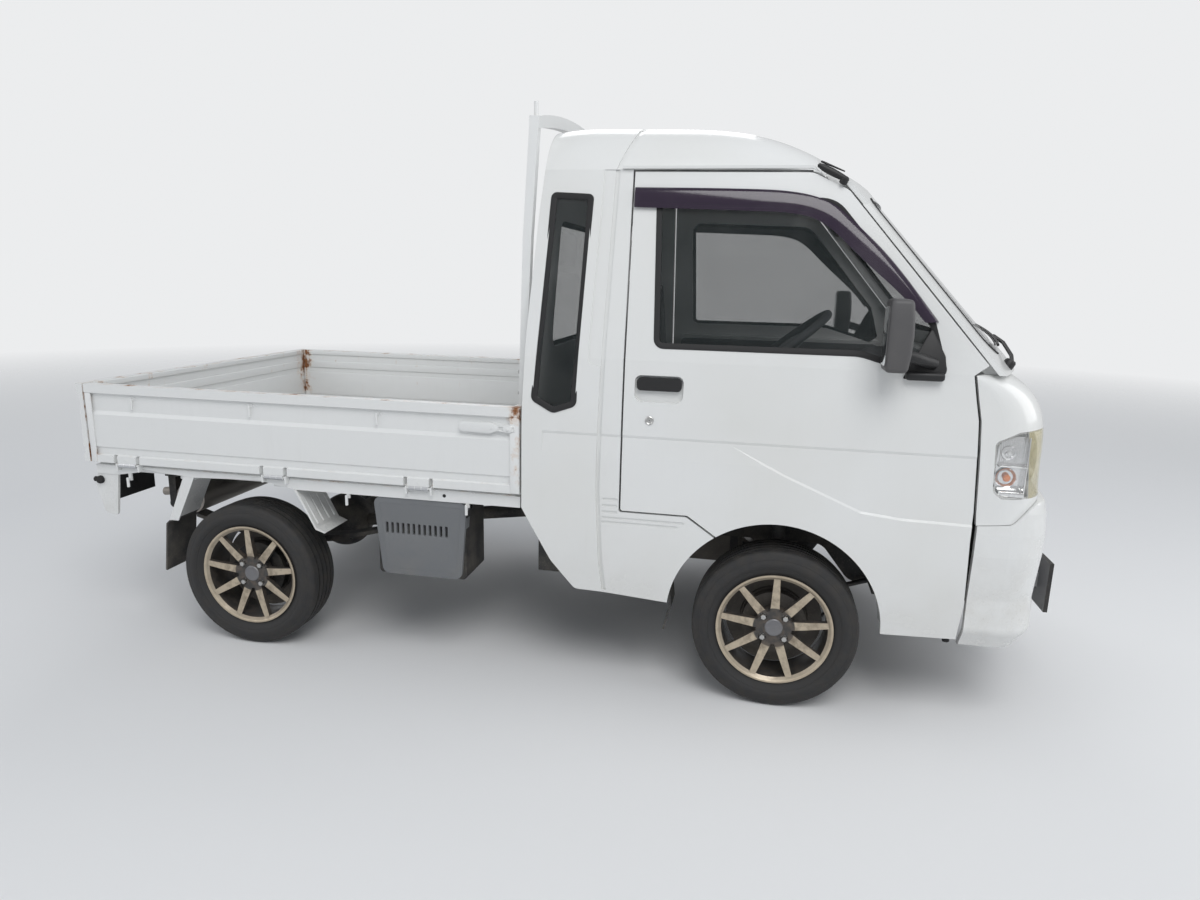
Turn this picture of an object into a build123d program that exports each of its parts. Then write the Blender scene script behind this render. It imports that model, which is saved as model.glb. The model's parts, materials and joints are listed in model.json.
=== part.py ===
from build123d import *
import math
import os

# Kei truck: a small forward-control truck with an extended high-roof cab and a drop-side bed.
# Millimetres, +X forward, +Y left, +Z up, ground at z = 0. Every x below counts from the middle of the
# wheelbase. The last lines move all solids so that the origin lies under the middle of the whole truck.

# Driving sizes
WHEELBASE = 1900
TRACK_FRONT = 1304
TRACK_REAR = 1300
REAR_X = -1590            # tailgate's outer lip
FRONT_X = 1800            # bumper's foremost point
PLATE_FACE_X = 1835       # licence plate, which stands ahead of the bumper
HALF_WIDTH = 737.5
X_FRONT = WHEELBASE / 2
X_REAR = -WHEELBASE / 2
GAP = 6                   # shut line between a moving panel and its neighbour
SEAT_GAP = 0.3            # clearance where one piece seats in another

# Wheels
TYRE_RADIUS = 268.5
TYRE_WIDTH = 165
RIM_LIP_RADIUS = 187
RIM_SEAT_RADIUS = 178
RIM_WIDTH = 140
RIM_FACE = 64             # spoke face, outboard of the wheel's middle plane
SPOKES = 9
HUB_RADIUS = 58
HUB_BORE = 30
NUT_CIRCLE = 100
NUTS = 4

# Steering
KINGPIN_Y = 590           # at wheel centre height
KINGPIN_LEAN = 12         # degrees, top inboard
WHEEL_TILT = 39           # steering wheel's plane, degrees from level
HANDWHEEL_X = 935
HANDWHEEL_Y = -330
HANDWHEEL_Z = 1160
HANDWHEEL_RADIUS = 185
COLUMN_REACH = 135        # from the steering wheel's plane to the column's cover

# Cab side surface, upwards: half-width, height, blend radius
CAB_SIDE = (
    (712, 230, 0),
    (738, 480, 2500),
    (737, 930, 2500),
    (723, 1122, 60),
    (632, 1700, 0),
)
FRAME_DEPTH = 30          # door frame and pillars above the belt
DOOR_SKIN = 26            # door's outer layer, to its hinge line
DOOR_DEPTH = 66           # whole door below the belt
WALL_DEPTH = 56           # cab side behind the door
SILL_Z = 300

# Wheel arch of the cab
ARCH_X = 937
ARCH_Z = 290
ARCH_RADIUS = 340

# Windscreen: bowed in plan, slanting back by its slope for each mm of height
GLASS_BASE_X = 1673
GLASS_BASE_Z = 1153
GLASS_SLOPE = 0.928
GLASS_BOW = 1750
GLASS_THICK = 5

# Nose and bumper in plan
NOSE_BOW = 3300
NOSE_CORNER = 140
PANEL_THICK = 22

# Bed
BED_FLOOR_Z = 655
BED_FRONT_X = 92
BED_LENGTH = 1650
BED_INNER_HALF = 705
BED_FLOOR_THICK = 30
GATE_TOP_Z = 954
GATE_HINGE_Y = 730
GATE_HINGE_Z = 656
RAIL_HALF = 717
TAILGATE_X = REAR_X + 10  # tailgate's hinge line
BED_BEARERS = (-1520, -1180, -800, -400, 0)
FRAME_RAIL_Y = 330
FRAME_RAIL_WIDTH = 50
FRAME_RAIL_HEIGHT = 70

# Reach of the cutting prisms: both sides, right side only, along the door, along the cab side
ACROSS = (-900, 900)
RIGHT = (-900, -500)
DOOR_SPAN = (400, 1560)
SIDE_SPAN = (90, 760)
BACK_SPAN = (60, 260)
SCREEN_SPAN = (900, 1900)

# Door: outline in x and z, window opening with corner radii, hinge
DOOR_FRONT_EDGE = (
    (1507, 301), (1508, 419), (1501, 618), (1501, 713), (1492, 869), (1484, 989), (1472, 1048),
    (1459, 1120),
)
DOOR_REAR_X = 437
DOOR_BOTTOM_Z = 636
DOOR_TOP_Z = 1694
DOOR_BEND_X = 970         # the frame's top turns down to the windscreen here
DOOR_WINDOW = (
    (528, 1166, 26), (1140, 1166, 160), (1345, 1105, 20), (1381, 1128, 14), (1340, 1262, 20),
    (1040, 1612, 90), (512, 1625, 40),
)
DOOR_HINGES = (560, 900)  # heights
HINGE_X = 1476
HINGE_Y = HALF_WIDTH - 12
HINGE_PIN_REACH = 30      # pin above and below its lug
DOOR_PIN = 4
HINGE_LUG = 9             # width of the pillar's lugs
DOOR_FRONT_GAP = 8
VISOR_STAND = 9           # visor's outer face off the door
HANDLE = ((476, 1030, 14), (617, 1030, 14), (617, 1072, 16), (476, 1072, 16))
HANDLE_SCOOP = ((470, 994, 24), (623, 994, 24), (623, 1078, 20), (470, 1078, 20))
SCOOP_Y = -714            # floor of the handle's scoop
KEY_X, KEY_Z, KEY_RADIUS = 521, 937, 13

# Shallow pressings of the cab's sides: the feature line, the panel below it, the ribs of the sill
FEATURE_Z = 880
FEATURE_START_X = 172
RECESS_DEPTH = 3.6
DOOR_RECESS = ((754, 876), (950, 782), (1180, 686), (1300, 673), (1530, 669), (1530, 884), (754, 884))
# across and upwards: the step under the feature line, running out to nothing at its foot
FEATURE_STEP = ((-745, 886), (-736.9, 886), (-733.6, 877), (-738, 800), (-745, 800))
SILL_RIBS = ((380, 423, 671), (380, 423, 649), (380, 423, 628), (380, 640, 608), (379, 620, 593))
RIB_RADIUS = 4
# the channel between the rear quarter and the door pillar, and the wider one above the belt
CHANNEL = ((353, 700), (366, 455), (379, 352), (393, 352), (380, 455), (366, 700), (367, 832), (375, 1212),
           (389, 1669), (390, 1702), (376, 1702), (375, 1669), (361, 1212), (353, 832))
CHANNEL_UPPER = ((318, 1106, 14), (364, 1098), (376, 1702), (340, 1702), (338, 1633), (318, 1180))
ROOF_CHANNEL = ((378, 1704), (394, 1704), (440, 1817), (456, 1930), (436, 1930), (422, 1817))
ROOF_CHANNEL_DEPTH = 6
# the drip rail above the door
DRIP_RAIL = ((398, 1702), (964, 1702), (1010, 1687), (1092, 1650), (1098, 1656), (1014, 1695), (968, 1710),
             (398, 1710))
DRIP_RAIL_SPAN = (-641, -628)

# Cab side, back wall and roof
CAB_REAR_EDGE = ((103, 619), (103, 938), (112, 1197), (135, 1558), (149, 1700))
QUARTER_WINDOW = ((138, 985, 20), (207, 948, 24), (279, 973, 20), (306, 1622, 12), (178, 1628, 14))
BACK_WINDOW = ((-470, 1130, 45), (470, 1130, 45), (450, 1560, 45), (-450, 1560, 45))
WINDSCREEN_OPENING = ((-640, 1180, 50), (640, 1180, 50), (575, 1622, 45), (-575, 1622, 45))
FRAME_BACK = 42           # depth of the pillars behind the windscreen's face
ROOF_LOW_Z = 1560         # roof's lowest edge, at the windscreen's upper corners
ROOF_EDGE_Z = 1700.3      # its edge along the cab side
SHOULDER_Y = 450
# along x: half-width and height of the edge, height at the shoulder, height at the crown
ROOF_SECTIONS = (
    (149, 631, 1700.3, 1838, 1872),
    (420, 631, 1700.3, 1847, 1885),
    (700, 631, 1700.3, 1838, 1876),
    (860, 631, 1694, 1808, 1845),
    (1000, 633, 1680, 1750, 1787),
    (1230, 648, 1590, 1610, 1640),
)

# Nose, lamps and bumper
NOSE_FRONT_X = 1765
NOSE_TOP_Z = 1122
NOSE_BACK_X = 1300
NOSE_SPAN = (1600, 1900)
LAMP_SPAN = (1440, 1900)
# upwards: height, how far the front lies back of its foremost point
NOSE_LEVELS = ((660, 8), (800, 4), (920, 8), (1030, 30), (1085, 72), (NOSE_TOP_Z, 150))
HEADLAMP_DEPTH = 70
HEADLAMP_FRONT = ((-800, 760, 20), (-345, 770, 40), (-335, 955, 40), (-800, 975, 20))
HEADLAMP_SIDE = ((1545, 780, 30), (1600, 742, 30), (1850, 742), (1850, 985), (1600, 962, 30),
                 (1536, 930, 20))
LENS_THICK = 4
LAMP_WALL = 6
GRILLE = ((-300, 800, 16), (300, 800, 16), (300, 862, 16), (-300, 862, 16))
INTAKE = ((-150, 352, 22), (180, 352, 22), (180, 440, 22), (-150, 440, 22))
# outwards of the bumper's widest line, and height
BUMPER_PROFILE = (
    (-40, 752), (-14, 748, 10), (-6, 715, 30), (0, 650, 60), (0, 580, 40), (-11, 440, 60), (-6, 335, 40),
    (-50, 268, 20), (-75, 268), (-28, 335, 30), (-33, 440, 40), (-22, 580, 40), (-22, 650, 40),
    (-28, 730, 10), (-40, 735),
)
BUMPER_REAR_X = 1516
BUMPER_CORNER = 130
BUMPER_SEAM = ((1440, 674), (1512, 674), (1614, 683, 30), (1659, 728, 30), (1700, 755), (1900, 755))
SEAM = 2                  # gap between the fixed panels of the nose

# Cab floor
PLATFORM_Z = 652
FOOT_Z = 410
FLOOR_THICK = 12
FLOOR_HALF = 655
RISER_X = 1262            # front of the seat platform
PILLAR_HALF = 638         # hinge pillars
PILLAR_THICK = 16
PILLAR_TOP = 1060
FIREWALL_X = 1560

# Chassis
FRAME_LOW_Z = 545         # underside of the frame's rear stretch
CROSS_MEMBERS = (         # x, and the rails' underside there
    (-1515, FRAME_LOW_Z), (-1130, FRAME_LOW_Z), (-500, FRAME_LOW_Z), (-10, 500), (1060, 455), (1600, 322),
)
GEARBOX_REAR_X = 60
BUMPER_STAY_X = 1751
SPRING_LENGTH = 1000
SPRING_TOP_Z = 345
SPRING_RISE = 90
SPRING_Y = 440
STRUT_CAP = 50
STRUT_TOP = PLATFORM_Z - FLOOR_THICK - SEAT_GAP - STRUT_CAP * math.sin(math.radians(KINGPIN_LEAN))
RACK_X = 800
RACK_Z = 264
RACK_RADIUS = 20
ARM_REACH = 105           # steering arm, back from the kingpin to the tie rod's ball
ARM_BALL_Y = -532
ARM_Z = 297
SPOKE_WIDTH = 30
TREAD_GROOVES = (-38, -13, 13, 38)

BATTERY_SLOTS = 12
LAMP_SEAT_Y = -704        # inner face of the panels beside the rear lamps

# Fittings of the drop sides
RAIL_HOOKS = (-1419, -537, -95)
GATE_HOOKS = (-1365, -890, -409)
GATE_HINGES = (-1408, -811, -264)
TAILGATE_HINGES = (-500, 0, 500)
HINGE_PIN = 4
HINGE_BARREL = 8
BARREL_REACH = 36         # half of the barrel's length
TAB_REACH = 48            # half of the pin's length, to the outside of its tabs
TAB_THICK = 6
NOTCHES = ((-54, -39), (39, 54))  # in the gate's foot, along its hinge
NOTCH_Z = 693             # top of the notches that clear the hinge tabs
# upwards from the foot: height, how far each band stands out of the inner face
GATE_SECTION = (
    (663, 30), (690, 30), (694, 21), (716, 21), (722, 26), (842, 26), (856, 20), (918, 20), (922, 32),
    (GATE_TOP_Z, 32),
)


def outline(points, place):
    """Face inside a closed outline. A point is (a, b) or (a, b, corner radius)."""
    corners = []
    count = len(points)
    for i, point in enumerate(points):
        here = Vector(point[0], point[1])
        radius = point[2] if len(point) > 2 else 0
        if radius == 0:
            corners.append([here])
            continue
        before = (Vector(*points[i - 1][:2]) - here).normalized()
        after = (Vector(*points[(i + 1) % count][:2]) - here).normalized()
        half = math.radians(before.get_angle(after)) / 2
        reach = radius / math.tan(half)
        middle = here + (before + after).normalized() * (radius / math.sin(half) - radius)
        corners.append([here + before * reach, middle, here + after * reach])
    edges = []
    for i, corner in enumerate(corners):
        if len(corner) == 3:
            edges.append(ThreePointArc(*[place(v.X, v.Y) for v in corner]))
        following = corners[(i + 1) % count][0]
        if (corner[-1] - following).length > 1e-6:
            edges.append(Line(place(corner[-1].X, corner[-1].Y), place(following.X, following.Y)))
    return make_face(edges)


def inset_face(face, inset):
    """The face with its outline moved inwards."""
    return offset(face, amount=-inset) if inset else face


def prism_y(points, y_low, y_high, inset=0):
    """Solid with an outline in x and z, from y_low to y_high."""
    face = inset_face(outline(points, lambda a, b: Vector(a, y_low, b)), inset)
    return extrude(face, amount=y_high - y_low, dir=(0, 1, 0))


def prism_x(points, x_low, x_high, inset=0):
    """Solid with an outline in y and z, from x_low to x_high."""
    face = inset_face(outline(points, lambda a, b: Vector(x_low, a, b)), inset)
    return extrude(face, amount=x_high - x_low, dir=(1, 0, 0))


def prism_z(points, z_low, z_high, inset=0):
    """Solid with an outline in x and y, from z_low to z_high."""
    face = inset_face(outline(points, lambda a, b: Vector(a, b, z_low)), inset)
    return extrude(face, amount=z_high - z_low, dir=(0, 0, 1))


def block(x_range, y_range, z_range):
    """Box between two values on each axis."""
    sizes = [high - low for low, high in (x_range, y_range, z_range)]
    return Pos(x_range[0], y_range[0], z_range[0]) * Box(*sizes, align=(Align.MIN,) * 3)


def rod(start, end, radius):
    """Round bar between two points."""
    line = Vector(*end) - Vector(*start)
    plane = Plane(origin=start, z_dir=line)
    return extrude(plane * Circle(radius), amount=line.length)


def mirrored(shape):
    """The same piece on the other side of the truck."""
    return mirror(shape, about=Plane.XZ)


def both(shape):
    """A piece and its mirror image."""
    return [shape, mirrored(shape)]


def half_width(z):
    """Half-width of the cab's side surface at a height."""
    for (y0, z0, _), (y1, z1, _) in zip(CAB_SIDE, CAB_SIDE[1:]):
        if z <= z1:
            return y0 + (y1 - y0) * (z - z0) / (z1 - z0)
    return CAB_SIDE[-1][0]


def side_band(near, far, x_low, x_high):
    """Right side wall of the cab, between two depths under its surface."""
    outer = [(-(y - near), z, radius) for y, z, radius in CAB_SIDE]
    inner = [(-(y - far), z, radius) for y, z, radius in reversed(CAB_SIDE)]
    return prism_x(outer + inner, x_low, x_high)


def cab_section(depth, x_low, x_high, top=1700):
    """The cab's full section, a depth under its side surface."""
    right = [(-(y - depth), z, radius) for y, z, radius in CAB_SIDE]
    left = [(y - depth, z, radius) for y, z, radius in reversed(CAB_SIDE)]
    return prism_x(right + left, x_low, x_high) & block((x_low, x_high), ACROSS, (0, top))


def windscreen_layer(near, far, z_low, z_high, half=760):
    """Layer of the bowed and slanting windscreen surface, between two depths behind it."""
    def face_x(y, depth):
        radius = GLASS_BOW - depth
        base = GLASS_BASE_X + (GLASS_BASE_Z - z_low) * GLASS_SLOPE - GLASS_BOW
        return base + math.sqrt(radius**2 - y**2)
    # depths are measured level, so they grow by the slant
    slant = math.hypot(1, 1 / GLASS_SLOPE)
    a, b = near * slant, far * slant
    outer, inner = [
        ThreePointArc(*[(face_x(abs(y), depth), y, z_low) for y in (-half, 0, half)]) for depth in (a, b)
    ]
    ends = [Line(outer @ 0, inner @ 0), Line(outer @ 1, inner @ 1)]
    rise = z_high - z_low
    travel = Vector(-GLASS_SLOPE * rise, 0, rise)
    return extrude(make_face([outer, inner] + ends), amount=travel.length, dir=travel)


def plan_edges(front_x, half, corner, bow, back_x, z):
    """Plan of nose or bumper at one height: side, corner, bowed front, corner, side."""
    reach = bow - corner
    centre_x = front_x - bow
    corner_x = centre_x + math.sqrt(reach**2 - (half - corner)**2)
    turn = math.atan2(half - corner, corner_x - centre_x)
    tangent = Vector(centre_x + bow * math.cos(turn), bow * math.sin(turn), z)
    bend = (math.pi / 2 + turn) / 2
    middle = Vector(corner_x + corner * math.cos(bend), half - corner + corner * math.sin(bend), z)
    flip = lambda v: Vector(v.X, -v.Y, v.Z)
    start = Vector(back_x, -half, z)
    side_end = Vector(corner_x, -half, z)
    return [
        Line(start, side_end),
        ThreePointArc(side_end, flip(middle), flip(tangent)),
        ThreePointArc(flip(tangent), Vector(front_x, 0, z), tangent),
        ThreePointArc(tangent, middle, flip(side_end)),
        Line(flip(side_end), flip(start)),
    ]


def glass_edge_x(z, back=0):
    """The windscreen's side edge on the cab's side surface, moved back level."""
    return 1513 - (z - 1153) * 416 / 483 - back


def side_recess(points, depth, slope=0):
    """Cutter for a pressing in the right side; its edges slope in by the slope for each mm of depth."""
    surface = -HALF_WIDTH
    outer = prism_y(points, surface - 20, surface)
    wires = []
    for level in (0, depth):
        face = outline(points, lambda a, b: Vector(a, surface + level, b))
        wires.append(inset_face(face, level * slope).faces()[0].outer_wire())
    return outer + Solid.make_loft(wires)


def arch_cut(radius, y_low, y_high):
    """Round wheel arch with open bottom."""
    face = Plane(origin=(ARCH_X, y_low, ARCH_Z), z_dir=(0, 1, 0)) * Circle(radius)
    round_part = extrude(face, amount=y_high - y_low)
    return round_part + block((ARCH_X - radius, ARCH_X + radius), (y_low, y_high), (0, ARCH_Z))


def door_blank(grow=0):
    """Prism of the door's outline on the right side."""
    front = [(x + grow, z) for x, z in DOOR_FRONT_EDGE]
    low = [(DOOR_REAR_X - grow, DOOR_BOTTOM_Z - grow, 8), (654 + grow, DOOR_BOTTOM_Z - grow, 20)]
    low += [(757 + grow / 2, 566 - grow), (770, 300), (1290, SILL_Z - 8 - grow), (1500, SILL_Z - grow)]
    back = 18 - grow
    high = [(glass_edge_x(1150, back), 1150 + grow / 2), (glass_edge_x(1640, back), 1640 + grow / 2, 40)]
    high += [(DOOR_BEND_X, DOOR_TOP_Z - 3 + grow, 60), (DOOR_REAR_X - grow, DOOR_TOP_Z + grow)]
    return prism_y(low + front[1:] + high, *RIGHT)


def make_door():
    """Right door: pressed skin, deeper box below the belt, window frame, arch cut."""
    skin = side_band(0, DOOR_SKIN, *DOOR_SPAN) & door_blank()
    box_shape = [(DOOR_REAR_X + 30, 660, 20), (700, 660, 20), (760, 300), (1290, SILL_Z + 20),
                 (1395, SILL_Z + 30, 20), (1385, 1112), (DOOR_REAR_X + 30, 1112, 20)]
    inner = side_band(DOOR_SKIN, DOOR_DEPTH, *DOOR_SPAN) & prism_y(box_shape, *RIGHT) & door_blank()
    door = skin + inner - arch_cut(ARCH_RADIUS, *RIGHT) - prism_y(DOOR_WINDOW, *RIGHT)
    door -= side_recess(DOOR_RECESS, RECESS_DEPTH, 2)
    door -= prism_x(FEATURE_STEP, *DOOR_SPAN)
    door -= side_recess(HANDLE_SCOOP, SCOOP_Y + HALF_WIDTH)
    door -= rod((KEY_X, -HALF_WIDTH - 1, KEY_Z), (KEY_X, 9 - HALF_WIDTH, KEY_Z), KEY_RADIUS + SEAT_GAP)
    for z in DOOR_HINGES:
        bore = DOOR_PIN + SEAT_GAP
        reach = HINGE_PIN_REACH + SEAT_GAP
        door -= rod((HINGE_X, -HINGE_Y, z - reach), (HINGE_X, -HINGE_Y, z + reach), bore)
        door -= block((HINGE_X - 8, HINGE_X + 42), (-HINGE_Y - 5, -600), (z - HINGE_LUG, z + HINGE_LUG))
    return door


def make_door_handle():
    """Pull handle in the door's scoop, on two feet, and the lock cylinder under it."""
    handle = prism_y(HANDLE, SCOOP_Y - 14, SCOOP_Y - 6)
    for x in (500, 575):
        handle += block((x, x + 18), (SCOOP_Y - 7, SCOOP_Y), (1050, 1064))
    lock = rod((KEY_X, 0.5 - HALF_WIDTH, KEY_Z), (KEY_X, 9 - HALF_WIDTH, KEY_Z), KEY_RADIUS)
    return [handle, lock]


def make_door_glass():
    """Right door's window glass, set in the middle of the frame."""
    return side_band(12, 16, *DOOR_SPAN) & prism_y(DOOR_WINDOW, *RIGHT, SEAT_GAP)


def make_cab_side():
    """Right cab side behind the door: rear quarter, B-pillar, sill and the rear of the wheel arch."""
    lower = [(203, 442, 60), (285, 346, 30), (387, 343), (612, 326), (740, 326), (754, 560)]
    step = [(651, 630, 20), (431, 630, 8), (431, 1700)]
    shape = [*reversed(CAB_REAR_EDGE)] + lower + step
    side = side_band(0, FRAME_DEPTH, *SIDE_SPAN) & prism_y(shape, *RIGHT)
    inner = [(125, 640), (200, 470, 60), (290, 372, 30), (400, 368), (640, 352), (690, 352), (690, 560),
             (640, 612), (400, 600), (400, 1100), (118, 1100)]
    side += side_band(FRAME_DEPTH, WALL_DEPTH, *SIDE_SPAN) & prism_y(inner, *RIGHT)
    side -= arch_cut(ARCH_RADIUS, *RIGHT)
    side -= prism_y(QUARTER_WINDOW, *RIGHT)
    side -= side_band(-1, 7, *SIDE_SPAN) & prism_y(CHANNEL, *RIGHT)
    side -= side_band(-1, 4, *SIDE_SPAN) & prism_y(CHANNEL_UPPER, *RIGHT)
    side -= prism_x(FEATURE_STEP, FEATURE_START_X, SIDE_SPAN[1])
    for x_low, x_high, z in SILL_RIBS:
        for end in (x_low, x_high):
            side -= rod((end, -HALF_WIDTH - 9, z), (end, 3 - HALF_WIDTH, z), RIB_RADIUS)
        side -= block((x_low, x_high), (-HALF_WIDTH - 9, 3 - HALF_WIDTH), (z - RIB_RADIUS, z + RIB_RADIUS))
    return side


def rear_wall_layer(near, far, half):
    """Layer of the cab's slightly leaning back wall."""
    outer = [(x + near, z) for x, z in CAB_REAR_EDGE]
    inner = [(x + far, z) for x, z in reversed(CAB_REAR_EDGE)]
    return prism_y(outer + inner, -half, half)


def make_cab_back():
    """Back wall of the cab between its sides, with the rear window cut."""
    wall = rear_wall_layer(2, 24, 700)
    upper = wall & cab_section(FRAME_DEPTH + SEAT_GAP, 90, 200) & block(BACK_SPAN, ACROSS, (1100, 1699))
    lower = wall & cab_section(WALL_DEPTH + SEAT_GAP, 90, 200) & block(BACK_SPAN, ACROSS, (652, 1100))
    return upper + lower - prism_x(BACK_WINDOW, *BACK_SPAN)


def roof_section(x, half, edge_z, shoulder_z, crown_z, inset=0):
    """Section of the roof across the truck, closed on a level below its edges."""
    half = half - inset
    shoulder_z = shoulder_z - inset
    crown_z = crown_z - inset
    low = ROOF_LOW_Z - inset
    crown = ThreePointArc((x, -SHOULDER_Y, shoulder_z), (x, 0, crown_z), (x, SHOULDER_Y, shoulder_z))
    left = TangentArc((x, SHOULDER_Y, shoulder_z), (x, half, edge_z), tangent=crown % 1)
    right = mirrored(left).edge()
    sides = [Line((x, half, edge_z), (x, half, low)), Line((x, -half, edge_z), (x, -half, low))]
    bottom = Line((x, -half, low), (x, half, low))
    return make_face([crown, left, right, bottom] + sides).faces()[0].outer_wire()


def roof_solid(inset=0):
    """The roof's form as one solid, a depth under its surface."""
    return Solid.make_loft([roof_section(*row, inset=inset) for row in ROOF_SECTIONS])


def make_roof():
    """High roof as a hollow cap, with its back end closed and its front open to the windscreen."""
    rear = ROOF_SECTIONS[0][0]
    inner = roof_solid(PANEL_THICK) & block((rear + PANEL_THICK, 1300), ACROSS, (0, 2000))
    roof = roof_solid() - inner
    roof -= block((0, 1300), (-500, 500), (0, ROOF_EDGE_Z))
    roof -= block((0, DOOR_BEND_X), ACROSS, (0, ROOF_EDGE_Z))
    screen = windscreen_layer(-900, FRAME_BACK + SEAT_GAP, ROOF_LOW_Z - 30, 2000)
    roof -= screen
    for cut in both(door_blank(grow=GAP)):
        roof -= cut
    roof -= (roof_solid() - roof_solid(ROOF_CHANNEL_DEPTH)) & prism_y(ROOF_CHANNEL, *ACROSS)
    for rail in both(prism_y(DRIP_RAIL, *DRIP_RAIL_SPAN) - screen):
        roof += rail
    return roof


def make_windscreen_frame():
    """A-pillars, header and cowl round the windscreen opening."""
    heights = (NOSE_TOP_Z + SEAT_GAP, 1690)
    strip = windscreen_layer(0, 12, *heights) & cab_section(2, *SCREEN_SPAN)
    pillar = windscreen_layer(12, FRAME_BACK, *heights)
    pillar &= cab_section(FRAME_DEPTH + DOOR_FRONT_GAP, *SCREEN_SPAN)
    frame = strip + pillar - prism_x(WINDSCREEN_OPENING, *SCREEN_SPAN)
    frame -= block((900, 1300), ACROSS, (ROOF_LOW_Z + 40, 1800)) - roof_solid()
    for cut in both(door_blank(grow=GAP / 2)):
        frame -= cut
    return frame


def nose_solid(inset):
    """The nose as a loft of plan outlines, a depth under its surface."""
    wires = []
    for level, back in NOSE_LEVELS:
        z = level - inset
        half = half_width(z) - inset
        front = NOSE_FRONT_X - back - inset
        edges = plan_edges(front, half, NOSE_CORNER - inset, NOSE_BOW, NOSE_BACK_X - inset, z)
        edges.append(Line(edges[-1] @ 1, edges[0] @ 0))
        wires.append(make_face(edges).faces()[0].outer_wire())
    return Solid.make_loft(wires)


def lamp_space(inset=0):
    """Space of the right headlamp in the nose, from the front and from the side."""
    front = prism_x(HEADLAMP_FRONT, *LAMP_SPAN, inset)
    side = prism_y(HEADLAMP_SIDE, ACROSS[0], 0, inset)
    return front & side


def make_front_panel():
    """Front panel of the cab below the windscreen, with the lamp openings and the grille slot."""
    shell = nose_solid(0) - nose_solid(PANEL_THICK)
    rear = [(x + DOOR_FRONT_GAP, z) for x, z in DOOR_FRONT_EDGE if z > 650]
    seam = [(x, z + SEAM, *r) for x, z, *r in reversed(BUMPER_SEAM[1:])]
    shape = rear + [(1486, NOSE_TOP_Z), (1900, NOSE_TOP_Z)] + seam
    shell &= prism_y(shape, *ACROSS)
    for space in both(lamp_space()):
        shell -= space
    return shell - prism_x(GRILLE, *NOSE_SPAN)


def make_headlamps():
    """Clear lenses of the headlamps, wrapping round the nose's corners."""
    return both((nose_solid(0.5) - nose_solid(LENS_THICK)) & lamp_space())


def make_headlamp_housings():
    """Open bowls behind the headlamps' lenses."""
    bowl = (nose_solid(LENS_THICK) - nose_solid(HEADLAMP_DEPTH)) & lamp_space()
    hollow = (nose_solid(0) - nose_solid(HEADLAMP_DEPTH - LAMP_WALL)) & lamp_space(LAMP_WALL)
    return both(bowl - hollow)


def make_bumper():
    """Bumper swept round the nose."""
    path = Wire(plan_edges(FRONT_X, HALF_WIDTH, BUMPER_CORNER, NOSE_BOW, BUMPER_REAR_X, 0))
    start = path @ 0
    face = outline(BUMPER_PROFILE, lambda a, b: Vector(start.X, start.Y - a, b))
    body = sweep(face, path=path)
    body -= prism_y((*BUMPER_SEAM, (1900, 900), (1440, 900)), *ACROSS)
    return body - prism_x(INTAKE, *NOSE_SPAN)


def make_windscreen():
    """Bowed windscreen glass, seated in the frame's opening."""
    layer = windscreen_layer(4, 4 + GLASS_THICK, 1150, 1650)
    return layer & prism_x(WINDSCREEN_OPENING, *SCREEN_SPAN, SEAT_GAP)


def make_rear_windows():
    """Back window and the two quarter windows."""
    back = rear_wall_layer(10, 15, 700) & prism_x(BACK_WINDOW, *BACK_SPAN, SEAT_GAP)
    quarter = side_band(8, 13, 90, 420) & prism_y(QUARTER_WINDOW, *RIGHT, SEAT_GAP)
    return [back] + both(quarter)


def make_visor():
    """Right door's tinted rain visor along the top and front of the window."""
    outer = ((440, 1646), (760, 1641), (917, 1635), (1013, 1604), (1077, 1561), (1208, 1439), (1349, 1266))
    inner = ((1312, 1266), (1264, 1329), (1122, 1444), (1030, 1530), (953, 1573), (762, 1576), (440, 1586))
    shield = side_band(-VISOR_STAND, -VISOR_STAND + 3, *DOOR_SPAN) & prism_y(outer + inner, *RIGHT)
    flange = tuple((x - 8, z - 12) for x, z in outer[5::-1])
    rim = side_band(-VISOR_STAND + 1, -SEAT_GAP, *DOOR_SPAN)
    return shield + (rim & prism_y(outer[:6] + flange, *RIGHT))


def make_mirror():
    """Right door mirror: base on the window's front corner, arm and head."""
    base = side_band(-8, -SEAT_GAP, *DOOR_SPAN)
    base &= prism_y(((1262, 1102), (1353, 1098), (1384, 1124, 8), (1377, 1172), (1333, 1254)), *RIGHT)
    arm = rod((1340, -725, 1150), (1262, -790, 1175), 13)
    head_shape = ((-752, 1128, 20), (-742, 1335, 30), (-852, 1335, 30), (-858, 1128, 20))
    head = fillet(prism_x(head_shape, 1196, 1262).edges().filter_by(Axis.X, reverse=True), 14)
    glass = prism_x(((-768, 1146, 14), (-760, 1318, 20), (-840, 1318, 20), (-844, 1146, 14)), 1192, 1197)
    return base + arm + head - glass


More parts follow.
